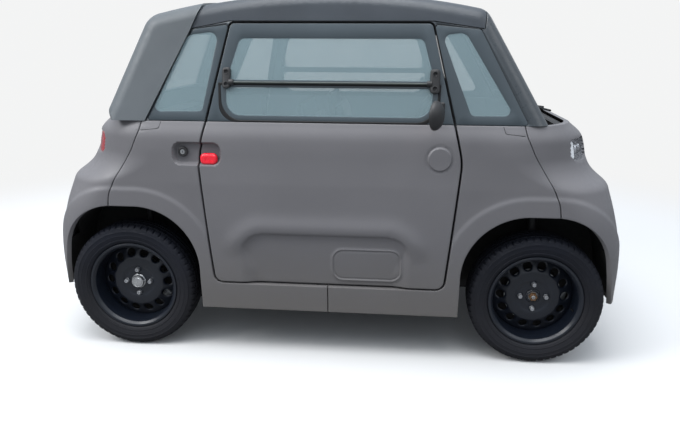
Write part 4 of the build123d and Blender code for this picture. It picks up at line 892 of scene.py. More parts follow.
def repeated(piece, tree, material, sharp, **sizes):
    """Runs a repeating tree on a piece and keeps the outcome as its plain mesh."""
    step = piece.modifiers.new("repeat", "NODES")
    step.node_group = tree
    for item in tree.interface.items_tree:
        label = item.name.lower().replace(" ", "_")
        if item.in_out == "INPUT" and label in sizes:
            step[item.identifier] = sizes[label]
        if item.name == "Finish":
            step[item.identifier] = material
    old = piece.data
    finish_mesh(bake(piece, step), material, sharp)
    bpy.data.meshes.remove(old)
    return piece


# Wheels, drawn about the Y axis with the outer side towards -Y

# Half of the tyre's section, from the bead up to the middle of the tread.
# Columns: radius, outward, how deep the cross grooves cut there.
TYRE_HALF = (
    (182.2, 61.3, 0), (195.0, 61.3, 0), (197.6, 64.0, 0), (201.0, 68.6, 0), (206.0, 71.6, 0), (208.6, 72.2, 0),
    (209.8, 74.0, 0), (213.4, 74.5, 0), (214.8, 73.5, 0), (224.0, 76.4, 0), (230.6, 77.2, 0), (231.4, 78.0, 0),
    (233.2, 78.0, 0), (234.0, 77.4, 0), (246.0, 77.2, 0), (247.0, 78.0, 0), (250.4, 77.6, 0), (251.4, 76.4, 0),
    (259.5, 73.6, 1.2), (264.5, 71.4, 3.2), (268.6, 68.0, 4.6), (272.4, 62.6, 5.6), (275.0, 56.6, 6.0),
    (276.6, 51.0, 6.0), (276.9, 46.6, 1.5), (270.4, 45.6, 0), (270.2, 40.2, 0), (277.4, 39.0, 1.5),
    (277.9, 30.0, 3.6), (278.2, 22.0, 3.6), (278.3, 15.6, 1.0), (270.8, 14.8, 0), (270.8, 8.2, 0),
    (278.4, 7.4, 1.0), (278.5, 3.0, 2.4),
)
TREAD_PITCHES = 60
STEPS_IN_PITCH = 6


def tyre():
    half = np.array(TYRE_HALF)
    whole = np.concatenate([half, (half * (1, -1, 1))[::-1]])

    def cross_grooves(i, j):
        """Cut depth: the shoulder, middle and far rows of blocks are set off from one another."""
        lag = np.where(np.abs(whole[j, 1]) < 44, 3, 0) + (whole[j, 1] < 0) * 2
        return whole[j, 2] * ((i + lag) % STEPS_IN_PITCH == 0)

    return turned("tyre", whole[:, :2], TYRE_RUBBER, TREAD_PITCHES * STEPS_IN_PITCH, 34, cross_grooves)


RIM_BAND = (
    (181.6, -61.8, 0.6), (194.3, -61.8, 1.4), (194.3, -67.8, 2.8), (184.0, -67.8, 5.0), (174.5, -59.0, 7.0),
    (171.8, -30.0, 12.0), (171.8, 30.0, 12.0), (174.5, 56.0, 7.0), (184.5, 67.0, 4.0), (194.3, 67.8, 2.8),
    (194.3, 61.8, 1.4), (181.6, 61.8, 0.6),
)
VENT_COUNT, VENT_CIRCLE, VENT_RADIUS = 14, 133, 17.6
BOLT_COUNT, BOLT_CIRCLE, BOLT_SEAT = 4, 54, 13
DISC_THICK = 5.4
VENTS = [
    circle_loop(VENT_CIRCLE * math.cos(turn), VENT_CIRCLE * math.sin(turn), VENT_RADIUS, 24)
    for turn in turns(VENT_COUNT)
]


def disc_front(x, z, edge):
    """Pressed steel disc: a flat dome whose rim falls back in a cone that holds the vents."""
    r = np.hypot(x, z)
    dome = 5.0 + 4.0 * smoothstep((r - 62) / 14) - 0.0022 * np.maximum(r - 76, 0) ** 2
    cone = 5.0 - 0.52 * (r - 112)
    out = cone + (dome - cone) * (1 - smoothstep((r - 105) / 11))
    out = out + 1.4 * np.exp(-(((r - 44) / 4.0) ** 2))
    near = (np.arctan2(z, x) * VENT_COUNT / (2 * math.pi)) % 1.0
    off = np.minimum(near, 1 - near) * 2 * math.pi / VENT_COUNT
    vent = np.hypot(r - VENT_CIRCLE, VENT_CIRCLE * off) - VENT_RADIUS
    bolt = np.minimum.reduce([
        np.hypot(x - BOLT_CIRCLE * math.cos(a), z - BOLT_CIRCLE * math.sin(a))
        for a in turns(BOLT_COUNT)
    ])
    return out - 3.0 * smoothstep(1 - vent / 5.5) - 1.8 * smoothstep(1 - (bolt - BOLT_SEAT) / 3) - lip(edge)


def disc_back(x, z):
    return disc_front(x, z, np.full(len(x), 99.0)) - DISC_THICK


def rim():
    """Band, pressed disc with its vents, and the valve."""
    band = turned("rim_band", rounded(RIM_BAND, 2.0), WHEEL_BLACK, 112, 34)
    disc = shell_piece("rim_disc", circle_loop(0, 0, 172.4, 120), disc_front, disc_back, WHEEL_BLACK, 5.0,
                       [circle_loop(0, 0, 29.3, 40), *VENTS], (0.0, 0.7, 1.8, 3.6))
    valve = domed("valve", [(4, 20), (4, 34), (3, 36), (2.6, 42)], SEAL_BLACK, 12)
    valve.data.transform(Matrix.Translation((0.160, 0.0, -0.045)))
    return joined("rim", [band, disc, valve])


def lug_nuts():
    """Four hexagon nuts with a round collar and a hollow end."""
    nut = domed("lug_nut", [(11.4, 2.0), (11.4, 5.4), (10.2, 7.0), (9.9, 17.0), (8.3, 19.2), (5.4, 19.2),
                            (4.6, 15.5)], NUT_ZINC, 6, 20)
    nut.data.transform(Matrix.Translation((BOLT_CIRCLE * MM, 0, 0)))
    return repeated(nut, ROUND_AXLE, NUT_ZINC, 20, count=BOLT_COUNT, first_turn=0.0)


def front_centre():
    """Hub ring, castle nut and axle end of a front wheel."""
    ring = domed("hub_ring", [(28.4, -6), (28.4, 7.5), (26.5, 9.5), (22.5, 9.5), (21.0, 6.0)], WHEEL_BLACK, 48)
    nut = domed("axle_nut", [(18.6, 4), (18.6, 16), (16.8, 18.4), (11.4, 18.4), (10.0, 14.5)], BRONZE, 6, 20)
    notch = soft_block("nut_crown", (9.0, -22.5, -2.9), (15.6, -17.6, 2.9), 0.8, BRONZE, 2)
    crown = repeated(notch, ROUND_AXLE, BRONZE, 20, count=6, first_turn=0.0)
    stub = domed("axle_end", [(8.6, 6), (8.6, 21.2), (7.4, 22.4), (3.0, 22.4), (2.2, 19.5)], STEEL, 32)
    return joined("front_centre", [ring, nut, crown, stub])


def rear_centre():
    """Grease cap of a rear wheel."""
    return domed("grease_cap", [(32.0, 1.0), (32.0, 7.0), (30.6, 8.4), (28.4, 8.6), (27.4, 18.0), (25.2, 21.4),
                                (21.6, 22.0), (20.4, 20.2), (18.8, 20.2), (17.4, 21.8), (9.0, 22.8)], CAP_SILVER, 64)


# Sections of the shield, a dark sheet of painted shade behind the vents, and of the disc. Columns: radius, outward.
SHADE_SHIELD = (
    (62, -66), (118, -66), (124, -62), (158, -62), (163, -58), (163, -41), (164.4, -41), (164.4, -59), (159, -63.6),
    (124, -63.6), (118, -67.6), (62, -67.6),
)
BRAKE_DISC = (
    (64, -22), (66, -20), (104, -20), (105, -21), (105, -31), (104, -32), (66, -32), (64, -30),
)


def brake():
    """Clamp with its pins, disc, and the dished shield that closes the wheel's inner side: a black sheet of painted
    shade that keeps the vents dark.
    """
    return joined("brake", [
        soft_block("clamp", (106, 46, -34), (150, 62, 34), 6, CAST, 3),
        soft_block("clamp_pins", (112, 41, -22), (124, 50, 22), 4, STEEL, 3),
        # Painted shade: black liner set behind the disc so the vents show dark instead of the floor.
        turned("brake_shield", SHADE_SHIELD, BLACK_LINER, 96),
        turned("brake_disc", BRAKE_DISC, BRAKE_IRON, 96),
    ])


CLAMP_TURN = {"front": -0.15, "rear": -0.75}
tyre_piece, rim_piece, nuts_piece, brake_piece = tyre(), rim(), lug_nuts(), brake()
centres = {"front": front_centre(), "rear": rear_centre()}
for corner in CORNERS:
    end, side = corner.split("_")
    x = AXLE_X if end == "front" else -AXLE_X
    y = -WHEEL_Y if side == "right" else WHEEL_Y
    place = Matrix.Translation((x * MM, y * MM, TYRE_RADIUS * MM))
    turn = CLAMP_TURN[end]
    if side == "left":
        place = place @ HALF_TURN
        turn = math.pi - turn
    wheel = corner + "_wheel"
    wear(moved(tyre_piece, corner + "_tread_tyre", place), wheel, "tyre_rubber", corner + "_tyre")
    wear(moved(rim_piece, corner + "_steel_rim", place), wheel, "wheel_steel", corner + "_rim")
    wear(joined(corner + "_nuts", [moved(nuts_piece, "nuts", place), moved(centres[end], "centre", place)]),
         wheel, "hub_steel")
    wear(moved(brake_piece, corner + "_brake_clamp", place @ Matrix.Rotation(-turn, 4, "Y")),
         corner + "_knuckle" if end == "front" else "car_body", "cast_aluminium")
for drawn in (tyre_piece, rim_piece, nuts_piece, brake_piece, *centres.values()):
    bpy.data.objects.remove(drawn)


# Side glass, on the sloping side of the cabin


def glass_face(z):
    """How far out the side glass lies at a height."""
    return SIDE_BELT_Y - SIDE_LEAN * (z - BELT_Z)


def behind_glass(depth):
    """A plain face a set distance in from the side glass."""
    return lambda x, z, edge=None: glass_face(z) - depth


def fallen_edge(out, fall, reach):
    """A face out from the side glass whose edge falls back."""
    return lambda x, z, edge: glass_face(z) + out - fall * (1 - smoothstep(edge / reach))


PANE_ROUND = 1.4
PANE_RINGS = (0.0, 0.4, 1.4)
PANE_BACK = behind_glass(5.2)
CLEAR_FACES = (behind_glass(0.5), behind_glass(4.8))


def pane_front(x, z, edge):
    near = np.clip(PANE_ROUND - edge, 0, PANE_ROUND)
    return glass_face(z) - 0.2 - PANE_ROUND + np.sqrt(np.maximum(PANE_ROUND**2 - near**2, 0))


def border_piece(name, rows, opening, step):
    """The dark border of a pane, round its clear opening."""
    return shell_piece(name, rows, pane_front, PANE_BACK, GLASS_BORDER, step, [opening], PANE_RINGS)


def clear_piece(name, rows):
    return shell_piece(name, rows, *CLEAR_FACES, SIDE_GLASS, 60.0, (), (0.0,))


FLAP_EDGE = ((-438.3, 1150, 0.6), (430.3, 1150, 0.6), (424.3, 1010, 75), (-432.3, 1010, 75))
FLAP_GAP = ((-441.8, 1153.5, 0.6), (433.8, 1153.5, 0.6), (427.8, 1006.5, 78.5), (-435.8, 1006.5, 78.5))
DOOR_CLEAR = ((-359.8, 1328, 26), (365.8, 1328, 26), (412.3, 1168, 14), (-412.3, 1168, 14))
FLAP_CLEAR = ((-415.3, 1140, 14), (407.3, 1140, 14), (402.3, 1030, 60), (-410.3, 1030, 60))
# Outline and clear opening of each quarter window.
QUARTERS = {
    "front": (((502.3, 1007, 8), (406.8, 1381, 10), (583, 1364, 14), (778, 1007, 8)),
              ((557.3, 1040, 22), (435.8, 1343, 25), (525, 1352, 40), (722, 1041, 22))),
    "rear": (((-502.3, 1007, 8), (-406.8, 1381, 10), (-552, 1362, 14), (-742, 1007, 8)),
             ((-512.3, 1044, 22), (-444.8, 1356, 30), (-572, 1340, 40), (-720, 1041, 22))),
}


def door_glass_edge():
    """The fixed door pane: up and over the door's outline, then back round the flap's opening."""
    outer = rounded([(385, 1007.2, 0), (491.2, 1007.2, 2), (397.2, 1385, 18), (-397.2, 1385, 18),
                     (-491.2, 1007.2, 2), (-385, 1007.2, 0)], 4.0, closed=False)
    opening = rounded(FLAP_GAP, 3.0)
    opening = opening[opening[:, 1] > 1012]
    turn = np.arctan2(opening[:, 1] - 1080, opening[:, 0] * 0.2)
    opening = opening[np.argsort(-((turn + math.pi / 2) % (2 * math.pi)))]
    return np.concatenate([outer, opening])


def left_of(piece, name):
    """The left door's twin of a piece, turned half round with its door."""
    return moved(piece, name, HALF_TURN)


def mirrored(piece, name):
    """The twin of a piece on the other side of the car's middle."""
    return moved(piece, name, MIRROR_Y, flip=True)


door_border = joined("right_door_glass_border", [
    border_piece("pane", door_glass_edge(), DOOR_CLEAR, 40.0), border_piece("flap", FLAP_EDGE, FLAP_CLEAR, 40.0),
])
door_clear = joined("right_door_clear_glass", [clear_piece("pane", DOOR_CLEAR), clear_piece("flap", FLAP_CLEAR)])
FLAP_SEAL_OUT = ((-446.5, 1158, 3), (438.5, 1158, 3), (433.5, 1005.6, 72), (-441.5, 1005.6, 72))
FLAP_SEAL_IN = ((-436.3, 1148, 2), (428.3, 1148, 2), (421.3, 1012.4, 84), (-429.3, 1012.4, 84))
flap_seal = shell_piece("right_flap_seal", FLAP_SEAL_OUT, fallen_edge(1.8, 1.6, 2.4), behind_glass(2.5), SEAL_BLACK,
                        40.0, [FLAP_SEAL_IN], (0.0, 0.8, 2.2))

for side, border, clear, seal in (
    ("right", door_border, door_clear, flap_seal),
    ("left", left_of(door_border, "left_door_glass_border"), left_of(door_clear, "left_door_clear_glass"),
     left_of(flap_seal, "left_flap_seal")),
):
    door = side + "_door"
    wear(border, door, "tinted_glass", side + "_door_windows")
    wear(clear, door, "tinted_glass")
    wear(seal, door, "black_plastic")

borders, clears = [], []
for end, (edge_rows, clear_rows) in QUARTERS.items():
    border = border_piece(end + "_border", edge_rows, clear_rows, 30.0)
    clear = clear_piece(end + "_clear", clear_rows)
    borders += [border, mirrored(border, end + "_far_border")]
    clears += [clear, mirrored(clear, end + "_far_clear")]
wear(joined("quarter_glass_borders", borders), "car_body", "tinted_glass", "quarter_windows")
wear(joined("quarter_clear_glass", clears), "car_body", "tinted_glass")


def gap_seal_line(foot_x, head_x, head_z, bend):
    """One edge of the lip: up a pillar, along the roof and down the other pillar."""
    return rounded([(-foot_x, 1006, 0), (-head_x, head_z, bend), (head_x, head_z, bend), (foot_x, 1006, 0)],
                   4.0, closed=False)


# A rubber lip on the pillars, up and over each door's opening
gap_loop = np.concatenate([gap_seal_line(499.7, 404.8, 1392.6, 24), gap_seal_line(496.4, 401.6, 1389.4, 21)[::-1]])
gap_right = shell_piece("gap_right", gap_loop, fallen_edge(-4.0, 1.2, 1.4), behind_glass(26.0), SEAL_BLACK, 30.0,
                        (), (0.0, 0.5, 1.3))
wear(joined("door_gap_seals", [gap_right, left_of(gap_right, "gap_left")]), "car_body", "black_plastic")


def seam_thread(x_sign):
    """The fine joint of a small cover at the top of a wing."""
    line = rounded([(681, 1003, 0.1), (690, 976, 12), (764, 969, 0.1)], 4.0, closed=False)
    x = line[:, 0] * x_sign
    return tube("seam", np.stack([x, -side_y(x, line[:, 1]) + 0.35, line[:, 1]], 1), 0.95, SEAL_BLACK, sides=8)


seams = [seam_thread(1), seam_thread(-1)]
seams += [mirrored(seam, "far_seam") for seam in seams]
wear(joined("cover_seams", seams), "car_body", "black_plastic")

# Hinge bar of the flap, with an end pod on each side and two screw dimples in each pod

BAR_Z = 1160.0
BAR_END_X = 396
# Columns: middle x, middle z, width, height.
PODS = ((-411.3, 1176.5, 33.0, 81.0), (413.3, 1169.5, 38.0, 91.0))


def end_pod(name, x, z, width, height):
    """A pod that holds one end of the bar, crowned, with two screw dimples."""
    def front(px, pz, edge):
        crown = 12.5 + 3.0 * (1 - ((px - x) / (width / 2)) ** 2)
        near = np.clip(5 - edge, 0, 5)
        crown = crown - 5 + np.sqrt(np.maximum(25 - near**2, 0))
        for dz in (-height * 0.3, height * 0.3):
            hole = np.hypot(px - x, pz - z - dz)
            crown = crown - 7 * smoothstep((8.2 - hole) / 2.2) + 0.8 * np.exp(-(((hole - 9.6) / 1.6) ** 2))
        return glass_face(pz) + crown

    return shell_piece(name, box_loop(x, z, width / 2, height / 2, 12, 3), front, behind_glass(0.1), BLACK_TRIM, 2.6,
                       (), (0.0, 0.4, 1.2, 2.6, 5.0), 40)


def bar_end(x, sign):
    """A collar where the bar goes into its pod."""
    collar = domed("collar", [(11.5, -4), (11.5, 12), (10.4, 13.6), (7.4, 13.8)], BLACK_TRIM, 32)
    turn = Matrix.Rotation(sign * math.pi / 2, 4, "Z")
    place = Matrix.Translation((x * MM, -(glass_face(BAR_Z) + 9) * MM, BAR_Z * MM))
    collar.data.transform(place @ turn)
    return collar


bar_line = [
    (x, -(glass_face(BAR_Z) + 8.0 + 1.2 * math.cos(x / 270)), BAR_Z - 0.6)
    for x in np.linspace(-BAR_END_X, BAR_END_X, 24)
]
flap_bar = joined("right_flap_bar_rod", [
    tube("rod", bar_line, 4.4, BAR_GREY, sides=20),
    end_pod("rear_pod", *PODS[0]),
    end_pod("front_pod", *PODS[1]),
    bar_end(-BAR_END_X, 1),
    bar_end(BAR_END_X, -1),
])
wear(flap_bar, "right_door", "black_plastic", "right_flap_bar")
wear(left_of(flap_bar, "left_flap_bar_rod"), "left_door", "black_plastic", "left_flap_bar")

# Door handle and lock

HANDLE_X, HANDLE_Z, HANDLE_FOOT_Y = -486, 855, 665.6


def handle_front(x, z, edge):
    """A pillow with a shallow dimple for the thumb."""
    near = np.clip(1 - edge / 13.0, 0, 1)
    dimple = 1.6 * np.exp(-(((x - HANDLE_X) / 20) ** 2) - ((z - HANDLE_Z + 3) / 12) ** 2)
    return HANDLE_FOOT_Y + 15.4 * np.sqrt(np.maximum(1 - near**2.4, 0)) - dimple


def handle_back(x, z):
    return np.full(len(x), HANDLE_FOOT_Y - 0.2)


handle = shell_piece("right_handle_pad", box_loop(HANDLE_X, HANDLE_Z, 36, 24, 20, 2), handle_front, handle_back,
                     RED_SHINE, 2.2, (), (0.0, 0.3, 0.9, 2.0, 4.0, 7.0, 10.5), 60)
wear(handle, "right_door", "red_plastic", "right_door_handle")
wear(left_of(handle, "left_handle_pad"), "left_door", "red_plastic", "left_door_handle")

lock_ring = domed("lock_ring", [(20.5, -3), (20.5, 2.5), (19.0, 5.0), (15.5, 6.4), (12.6, 5.6), (11.2, 2.6)],
                  BLACK_TRIM, 48)
lock_core = domed("lock_core", [(10.4, -2), (10.4, 5.0), (9.4, 6.6), (4.0, 7.4)], CAP_SILVER, 40)
key_slot = soft_block("key_slot", (-1.0, -8.0, -5.0), (1.0, -6.9, 5.0), 0.3, SEAL_BLACK, 2)
lock = joined("right_door_lock", [lock_ring, lock_core, key_slot])
lock_place = Matrix.Translation((-0.594, -0.6655, 0.883))
lock.data.transform(lock_place)
wear(lock, "car_body", "black_plastic")
wear(left_of(lock, "left_door_lock"), "car_body", "black_plastic")

# Door mirrors, both at the front, so the left one is mirrored and not turned with its door

dome_rows = [(55 * math.cos(a), 31.8 * math.sin(a)) for a in np.linspace(0, math.pi / 2 - 0.08, 20)]
mirror_shell = domed("mirror_shell", [(45.5, -1.5), (46.6, -4.6), (49.0, -5.9), (52.6, -5.9), (54.6, -4.2), (55, -2)]
                     + dome_rows, BLACK_TRIM, 72, 40)
mirror_pane = domed("mirror_pane", [(45.2, -2.4), (45.2, -3.4), (44.4, -3.9), (20.0, -4.3)][::-1], MIRROR_FACE, 64)
mirror_place = Matrix.Translation((0.4123, -0.770, 1.054)) @ Matrix.Rotation(math.radians(68), 4, "Z")
mirror_shell.data.transform(mirror_place)
mirror_pane.data.transform(mirror_place)
stalk_line = [(439, y, 1066 + 2 * math.sin((y + 770) / 40)) for y in np.linspace(-768, -644, 14)]
stalk = tube("mirror_stalk", stalk_line, 8.6, BLACK_TRIM, sides=18)
foot = soft_block("mirror_foot", (424, -650.5, 1040), (454, -636, 1092), 6, BLACK_TRIM, 4)
mirror = joined("right_mirror_housing", [mirror_shell, stalk, foot])
wear(mirror, "right_door", "black_plastic", "right_door_mirror")
wear(mirror_pane, "right_door", "lamp_glass")
mirror_pane.name = "right_mirror_face"
wear(mirrored(mirror, "left_mirror_housing"), "left_door", "black_plastic", "left_door_mirror")
wear(mirrored(mirror_pane, "left_mirror_face"), "left_door", "lamp_glass")

# Lamps, drawn across the nose and bent round it


def nose_x(y, z):
    """How far forward the nose lies at (y, z)."""
    length, width, bend = body_row(z)
    past = np.clip(np.abs(y) - (width - bend), 0, bend)
    return length - bend + np.sqrt(bend**2 - past**2)


def across_nose(name, rows, front, back, material, step, rings, sharp=34):
    """A plate over an outline in (y, z), turned to face forwards."""
    piece = shell_piece(name, rows, front, back, material, step, (), rings, sharp)
    piece.data.transform(QUARTER_TURN)
    return piece


def behind_nose(depth, fall=0.0):
    """A face a set distance in from the nose, its edge falling back."""
    return lambda y, z, edge=0.0: nose_x(y, z) - depth - fall * (1 - smoothstep(edge / 6))


# The two round units of a lamp. Columns: middle y, radius of its bowl, radius of the unit.
UNITS = ((-512, 27, 24.5), (-460, 23, 20.5))
UNIT_Z = 898.0


def bucket_front(y, z, edge):
    """Reflector floor with a round bowl for each unit."""
    deep = 27 * smoothstep(edge / 5)
    for middle, bowl_radius, _ in UNITS:
        away = np.hypot(y - middle, z - UNIT_Z)
        bowl = np.clip(1 - (away / bowl_radius) ** 2, 0, 1)
        deep = deep - 9 * np.exp(-(((away - bowl_radius) / 2.6) ** 2)) + 12 * bowl * (away < bowl_radius)
    return nose_x(y, z) - 12 - deep * 0.62


def lamp_loop(inset):
    """The lamp's outline, drawn in by a distance."""
    return box_loop(-LAMP[0], LAMP[1], LAMP[2] - inset, LAMP[3] - inset, LAMP[4], 3)


def lamp(name, lens_material):
    """The lens of one lamp, and its inside: the bucket, an upright light bar and two round units."""
    lens = across_nose(name + "_lens", lamp_loop(1.5), behind_nose(6.5, 3.0), behind_nose(10.5), lens_material,
                       5.0, (0.0, 0.6, 2.0, 4.5))
    inside = [
        across_nose(name + "_bucket", lamp_loop(1.0), bucket_front, behind_nose(38), LAMP_HOUSING, 3.0,
                    (0.0, 0.8, 2.4, 4.6), 45),
        across_nose("light_bar", box_loop(-554, 899, 13, 35, 10, 2), behind_nose(12, 4.0), behind_nose(27),
                    LAMP_WHITE, 3.0, (0.0, 0.5, 1.6, 3.4), 40),
    ]
    for middle, _, radius in UNITS:
        unit = domed("unit", [(radius, -6), (radius, 2), (radius - 2.5, 3.4), (radius - 4, 2.2), (radius * 0.72, 5.6),
                              (radius * 0.42, 8.4), (radius * 0.15, 9.4)], REFLECTOR, 48)
        depth = float(nose_x(np.array([middle]), np.array([UNIT_Z]))[0]) - 27
        unit.data.transform(Matrix.Translation((depth * MM, middle * MM, UNIT_Z * MM)) @ QUARTER_TURN)
        inside.append(unit)
    return lens, joined(name + "_inside", inside)


for node, lens_material, place in (("headlamps", LAMP_CLEAR, Matrix()), ("rear_lamps", LAMP_RED, HALF_TURN)):
    lens, bucket = lamp(node, lens_material)
    for drawn, ending, nodes in ((lens, "_lenses", [node]), (bucket, "_buckets", [])):
        pair = joined(node + ending, [drawn, mirrored(drawn, "far_side")])
        pair.data.transform(place)
        wear(pair, "car_body", "lamp_glass", *nodes)

# Air inlet below the windscreen, with its slats, and the wiper

slat = soft_block("slat", (912.5, -478, 991.0), (921.0, 478, 993.6), 1.0, BLACK_TRIM, 2)
slats = repeated(slat, ALONG_LINE, BLACK_TRIM, 30, count=4, step=(0.0115, 0.0, -0.0008))
slats.name = "cowl_slats"
wear(slats, "car_body", "black_plastic")

# A tray closes the slot below each screen, at the nose and, turned round, at the tail.
tray = joined("cowl_tray", [
    soft_block("tray_floor", (866, -480, 962), (986, 480, 966), 1.5, BLACK_LINER, 2),
    soft_block("tray_ends", (866, -548, 957), (934, 548, 961), 1.5, BLACK_LINER, 2),
])
wear(joined("cowl_trays", [tray, moved(tray, "tail_tray", HALF_TURN)]), "car_body", "black_plastic")

# Windscreen's foot and head, for the wiper that lies on it
SCREEN_FOOT_X, SCREEN_HEAD_X, SCREEN_HEAD_Z = 905, 632, 1425


def screen_point(y, rise, off):
    """A point on the windscreen, a way up from its foot and clear of the glass."""
    lean = math.atan2(SCREEN_HEAD_X - SCREEN_FOOT_X, SCREEN_HEAD_Z - BELT_Z)
    return (
        SCREEN_FOOT_X + rise * math.sin(lean) + off * math.cos(lean), y,
        BELT_Z + rise * math.cos(lean) - off * math.sin(lean),
    )


arm_path = [(934, 96, 1001), (931, 92, 1012), (926, 40, 1019), screen_point(-60, 18, 13), screen_point(-230, 34, 13),
            screen_point(-330, 44, 12)]
blade_path = [screen_point(y, 40 + (y + 320) * -0.07, 6) for y in np.linspace(-520, -60, 22)]
wiper = joined("wiper", [
    tube("wiper_arm", arm_path, 4.6, BLACK_TRIM, sides=14),
    tube("wiper_blade", blade_path, 4.2, SEAL_BLACK, sides=10),
    soft_block("wiper_boss", (922, 82, 992), (946, 108, 1006), 5, BLACK_TRIM, 4),
])
wear(wiper, "car_body", "black_plastic")


# Seats. Sizes in metres.

CUSHION_INSET = 0.006
CUSHION_GRID = 0.0125
CLOTH_FRAMES = 20
MOST_BULGE = 0.012
SEAT_MIDDLE_Y = 0.275
SEWN_LINE = 0.115
SEWN_DEPTH = 0.004
SEWN_WIDTH = 0.006


def vertex_places(mesh):
    places = np.empty(len(mesh.vertices) * 3)
    mesh.vertices.foreach_get("co", places)
    return places.reshape(-1, 3)


def padded_cushions():
    """The four cushions blown up from their solid blocks, with the cloth drawn tight."""
    bm = bmesh.new()
    bm.from_mesh(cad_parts["seat_cushions"].data)
    bmesh.ops.remove_doubles(bm, verts=bm.verts, dist=2e-5)
    for v in bm.verts:
        v.co -= v.normal * CUSHION_INSET
    mesh = bpy.data.meshes.new("seat_pads")
    bm.to_mesh(mesh)
    bm.free()
    pads = new_object("seat_pads", mesh)
    grid = pads.modifiers.new("grid", "REMESH")
    grid.mode = "VOXEL"
    grid.voxel_size = CUSHION_GRID
    rest = vertex_places(bake(pads, grid))
    cloth = pads.modifiers.new("cloth", "CLOTH")
    for setting, value in (
        ("use_pressure", True), ("uniform_pressure_force", 4.0), ("quality", 4), ("mass", 0.3),
        ("tension_stiffness", 18), ("compression_stiffness", 18), ("bending_stiffness", 1.2),
    ):
        setattr(cloth.settings, setting, value)
    cloth.settings.effector_weights.gravity = 0.0
    cloth.point_cache.frame_start = 1
    cloth.point_cache.frame_end = CLOTH_FRAMES
    for step in range(1, CLOTH_FRAMES + 1):
        scene.frame_set(step)
    blown = bake(pads, cloth)
    scene.frame_set(1)

    def length(moves):
        return np.maximum(np.linalg.norm(moves, axis=1)[:, None], 1e-9)

    move = vertex_places(blown) - rest
    move = move * np.minimum(1, MOST_BULGE / length(move))
    seam = np.abs(np.abs(rest[:, 1]) - SEAT_MIDDLE_Y)
    channel = SEWN_DEPTH * np.exp(-((seam - SEWN_LINE) / SEWN_WIDTH) ** 2)
    new = rest + move - move / length(move) * channel[:, None]
    blown.vertices.foreach_set("co", new.ravel())
    smooth = pads.modifiers.new("smooth", "SUBSURF")
    smooth.levels = smooth.render_levels = 1
    finish_mesh(bake(pads, smooth), SEAT_CLOTH, 70)
    return pads


pads = padded_cushions()
wear(pads, "car_body", "seat_fabric", "seat_cushions")


# Floor, light and camera

BACKDROP = (0.90, 0.905, 0.905)
FLOOR_FADE = (1.9, 4.6)
FLOOR_HALF = 14
# Columns: name, place, size, power, aim.
LIGHTS = (
    ("key_light", (-4.6, -2.7, 4.6), 3.0, 250, (0, 0, 0.6)),
    ("fill_light", (4.6, -2.2, 4.2), 3.0, 34, (0.3, 0, 0.6)),
    ("top_light", (-0.2, -1.3, 5.6), 4.2, 290, (0, 0, 0.8)),
)


def seen_by_camera(tree):
    """One for rays from the camera and for rays through glass, else nought."""
    rays = tree.nodes.new("ShaderNodeLightPath").outputs
    return calculate(tree, "MAXIMUM", rays["Is Camera Ray"], rays["Is Transmission Ray"])


def mix_shaders(tree, factor, low, high):
    return add_node(tree, "ShaderNodeMixShader", {0: factor, 1: low.outputs[0], 2: high.outputs[0]})


def studio_floor():
    """A pale floor that runs into the backdrop's colour and throws little light back up."""
    material, tree, pale = principled("studio_floor", (0.62, 0.62, 0.615), 0.85, specular=0.1)
    away = add_node(tree, "ShaderNodeVectorMath", {0: object_coords(tree)}, operation="LENGTH").outputs["Value"]
    reach = add_node(tree, "ShaderNodeMapRange", {
        "Value": away, "From Min": FLOOR_FADE[0], "From Max": FLOOR_FADE[1],
    }, interpolation_type="SMOOTHERSTEP").outputs[0]
    seen = seen_by_camera(tree)
    bright = add_node(tree, "ShaderNodeEmission", {"Color": (*BACKDROP, 1)})
    dull = add_node(tree, "ShaderNodeBsdfDiffuse", {"Color": (0.24, 0.24, 0.24, 1)})
    near = mix_shaders(tree, seen, dull, pale)
    blend = mix_shaders(tree, calculate(tree, "MULTIPLY", reach, seen), near, bright)
    tree.links.new(blend.outputs[0], tree.nodes["Material Output"].inputs["Surface"])
    mesh = bpy.data.meshes.new("studio_floor")
    corners = [(x * FLOOR_HALF, y * FLOOR_HALF, 0) for x, y in ((-1, -1), (1, -1), (1, 1), (-1, 1))]
    mesh.from_pydata(corners, [], [(0, 1, 2, 3)])
    mesh.materials.append(material)
    new_object("studio_floor", mesh)


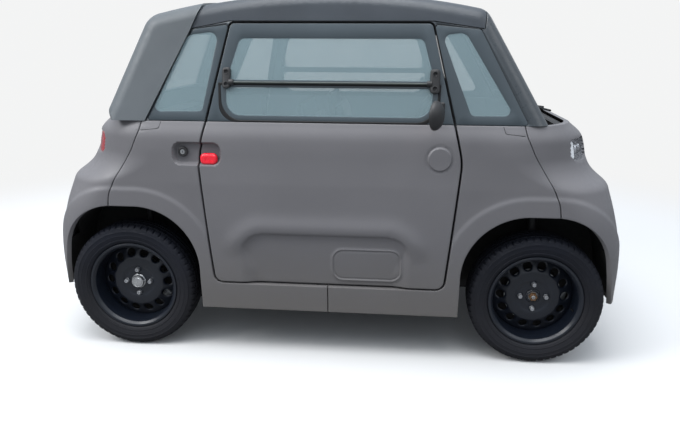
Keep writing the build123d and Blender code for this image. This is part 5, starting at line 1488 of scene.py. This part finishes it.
def studio_sky():
    """Shows the camera the backdrop's plain colour, and lights the car from a sky bright above, dark below."""
    world = bpy.data.worlds.new("studio_world")
    scene.world = world
    world.use_nodes = True
    tree = world.node_tree
    tree.nodes.clear()
    toward = tree.nodes.new("ShaderNodeTexCoord").outputs["Generated"]
    upward = add_node(tree, "ShaderNodeSeparateXYZ", {0: toward}).outputs["Z"]
    sky = add_node(tree, "ShaderNodeValToRGB", {0: calculate(tree, "MULTIPLY_ADD", upward, 0.5, 0.5)})
    low, high = sky.color_ramp.elements
    low.position, high.position = 0.42, 1.0
    low.color, high.color = (0.09, 0.09, 0.09, 1), (1.20, 1.32, 1.48, 1)
    sky.color_ramp.elements.new(0.54).color = (0.47, 0.50, 0.54, 1)
    light = add_node(tree, "ShaderNodeBackground", {"Color": sky.outputs[0], "Strength": 1.0})
    plain = add_node(tree, "ShaderNodeBackground", {"Color": (*BACKDROP, 1), "Strength": 1.0})
    mix = mix_shaders(tree, seen_by_camera(tree), light, plain)
    add_node(tree, "ShaderNodeOutputWorld", {0: mix.outputs[0]})


def studio_lights():
    for name, place, size, power, aim in LIGHTS:
        light = bpy.data.lights.new(name, "AREA")
        light.size = size
        light.energy = power
        holder = bpy.data.objects.new(name, light)
        scene.collection.objects.link(holder)
        holder.location = place
        holder.rotation_euler = (Vector(aim) - Vector(place)).to_track_quat("-Z", "Y").to_euler()


studio_floor()
studio_sky()
studio_lights()

# The photograph's camera, found by fitting the car's known sizes to it
CAMERA_PLACE = (0.2880, -3.1736, 1.3289)
CAMERA_YAW = math.radians(-5.4343)
CAMERA_PITCH = math.radians(-15.5111)
CAMERA_ROLL = math.radians(0.2044)
SENSOR_WIDTH = 36.0
FOCAL_PIXELS, PHOTO_PIXELS = 639.85, 680.0
camera_data = bpy.data.cameras.new("photo_camera")
camera_data.sensor_width = SENSOR_WIDTH
camera_data.lens = SENSOR_WIDTH * FOCAL_PIXELS / PHOTO_PIXELS
camera = bpy.data.objects.new("photo_camera", camera_data)
scene.collection.objects.link(camera)
ahead = Vector((
    math.sin(CAMERA_YAW) * math.cos(CAMERA_PITCH),
    math.cos(CAMERA_YAW) * math.cos(CAMERA_PITCH),
    math.sin(CAMERA_PITCH),
))
right = Vector((math.cos(CAMERA_YAW), -math.sin(CAMERA_YAW), 0))
above = right.cross(ahead)
turned_right = right * math.cos(CAMERA_ROLL) + above * math.sin(CAMERA_ROLL)
turned_up = above * math.cos(CAMERA_ROLL) - right * math.sin(CAMERA_ROLL)
basis = Matrix((turned_right, turned_up, -ahead)).transposed()
camera.matrix_world = Matrix.Translation(CAMERA_PLACE) @ basis.to_4x4()
scene.camera = camera
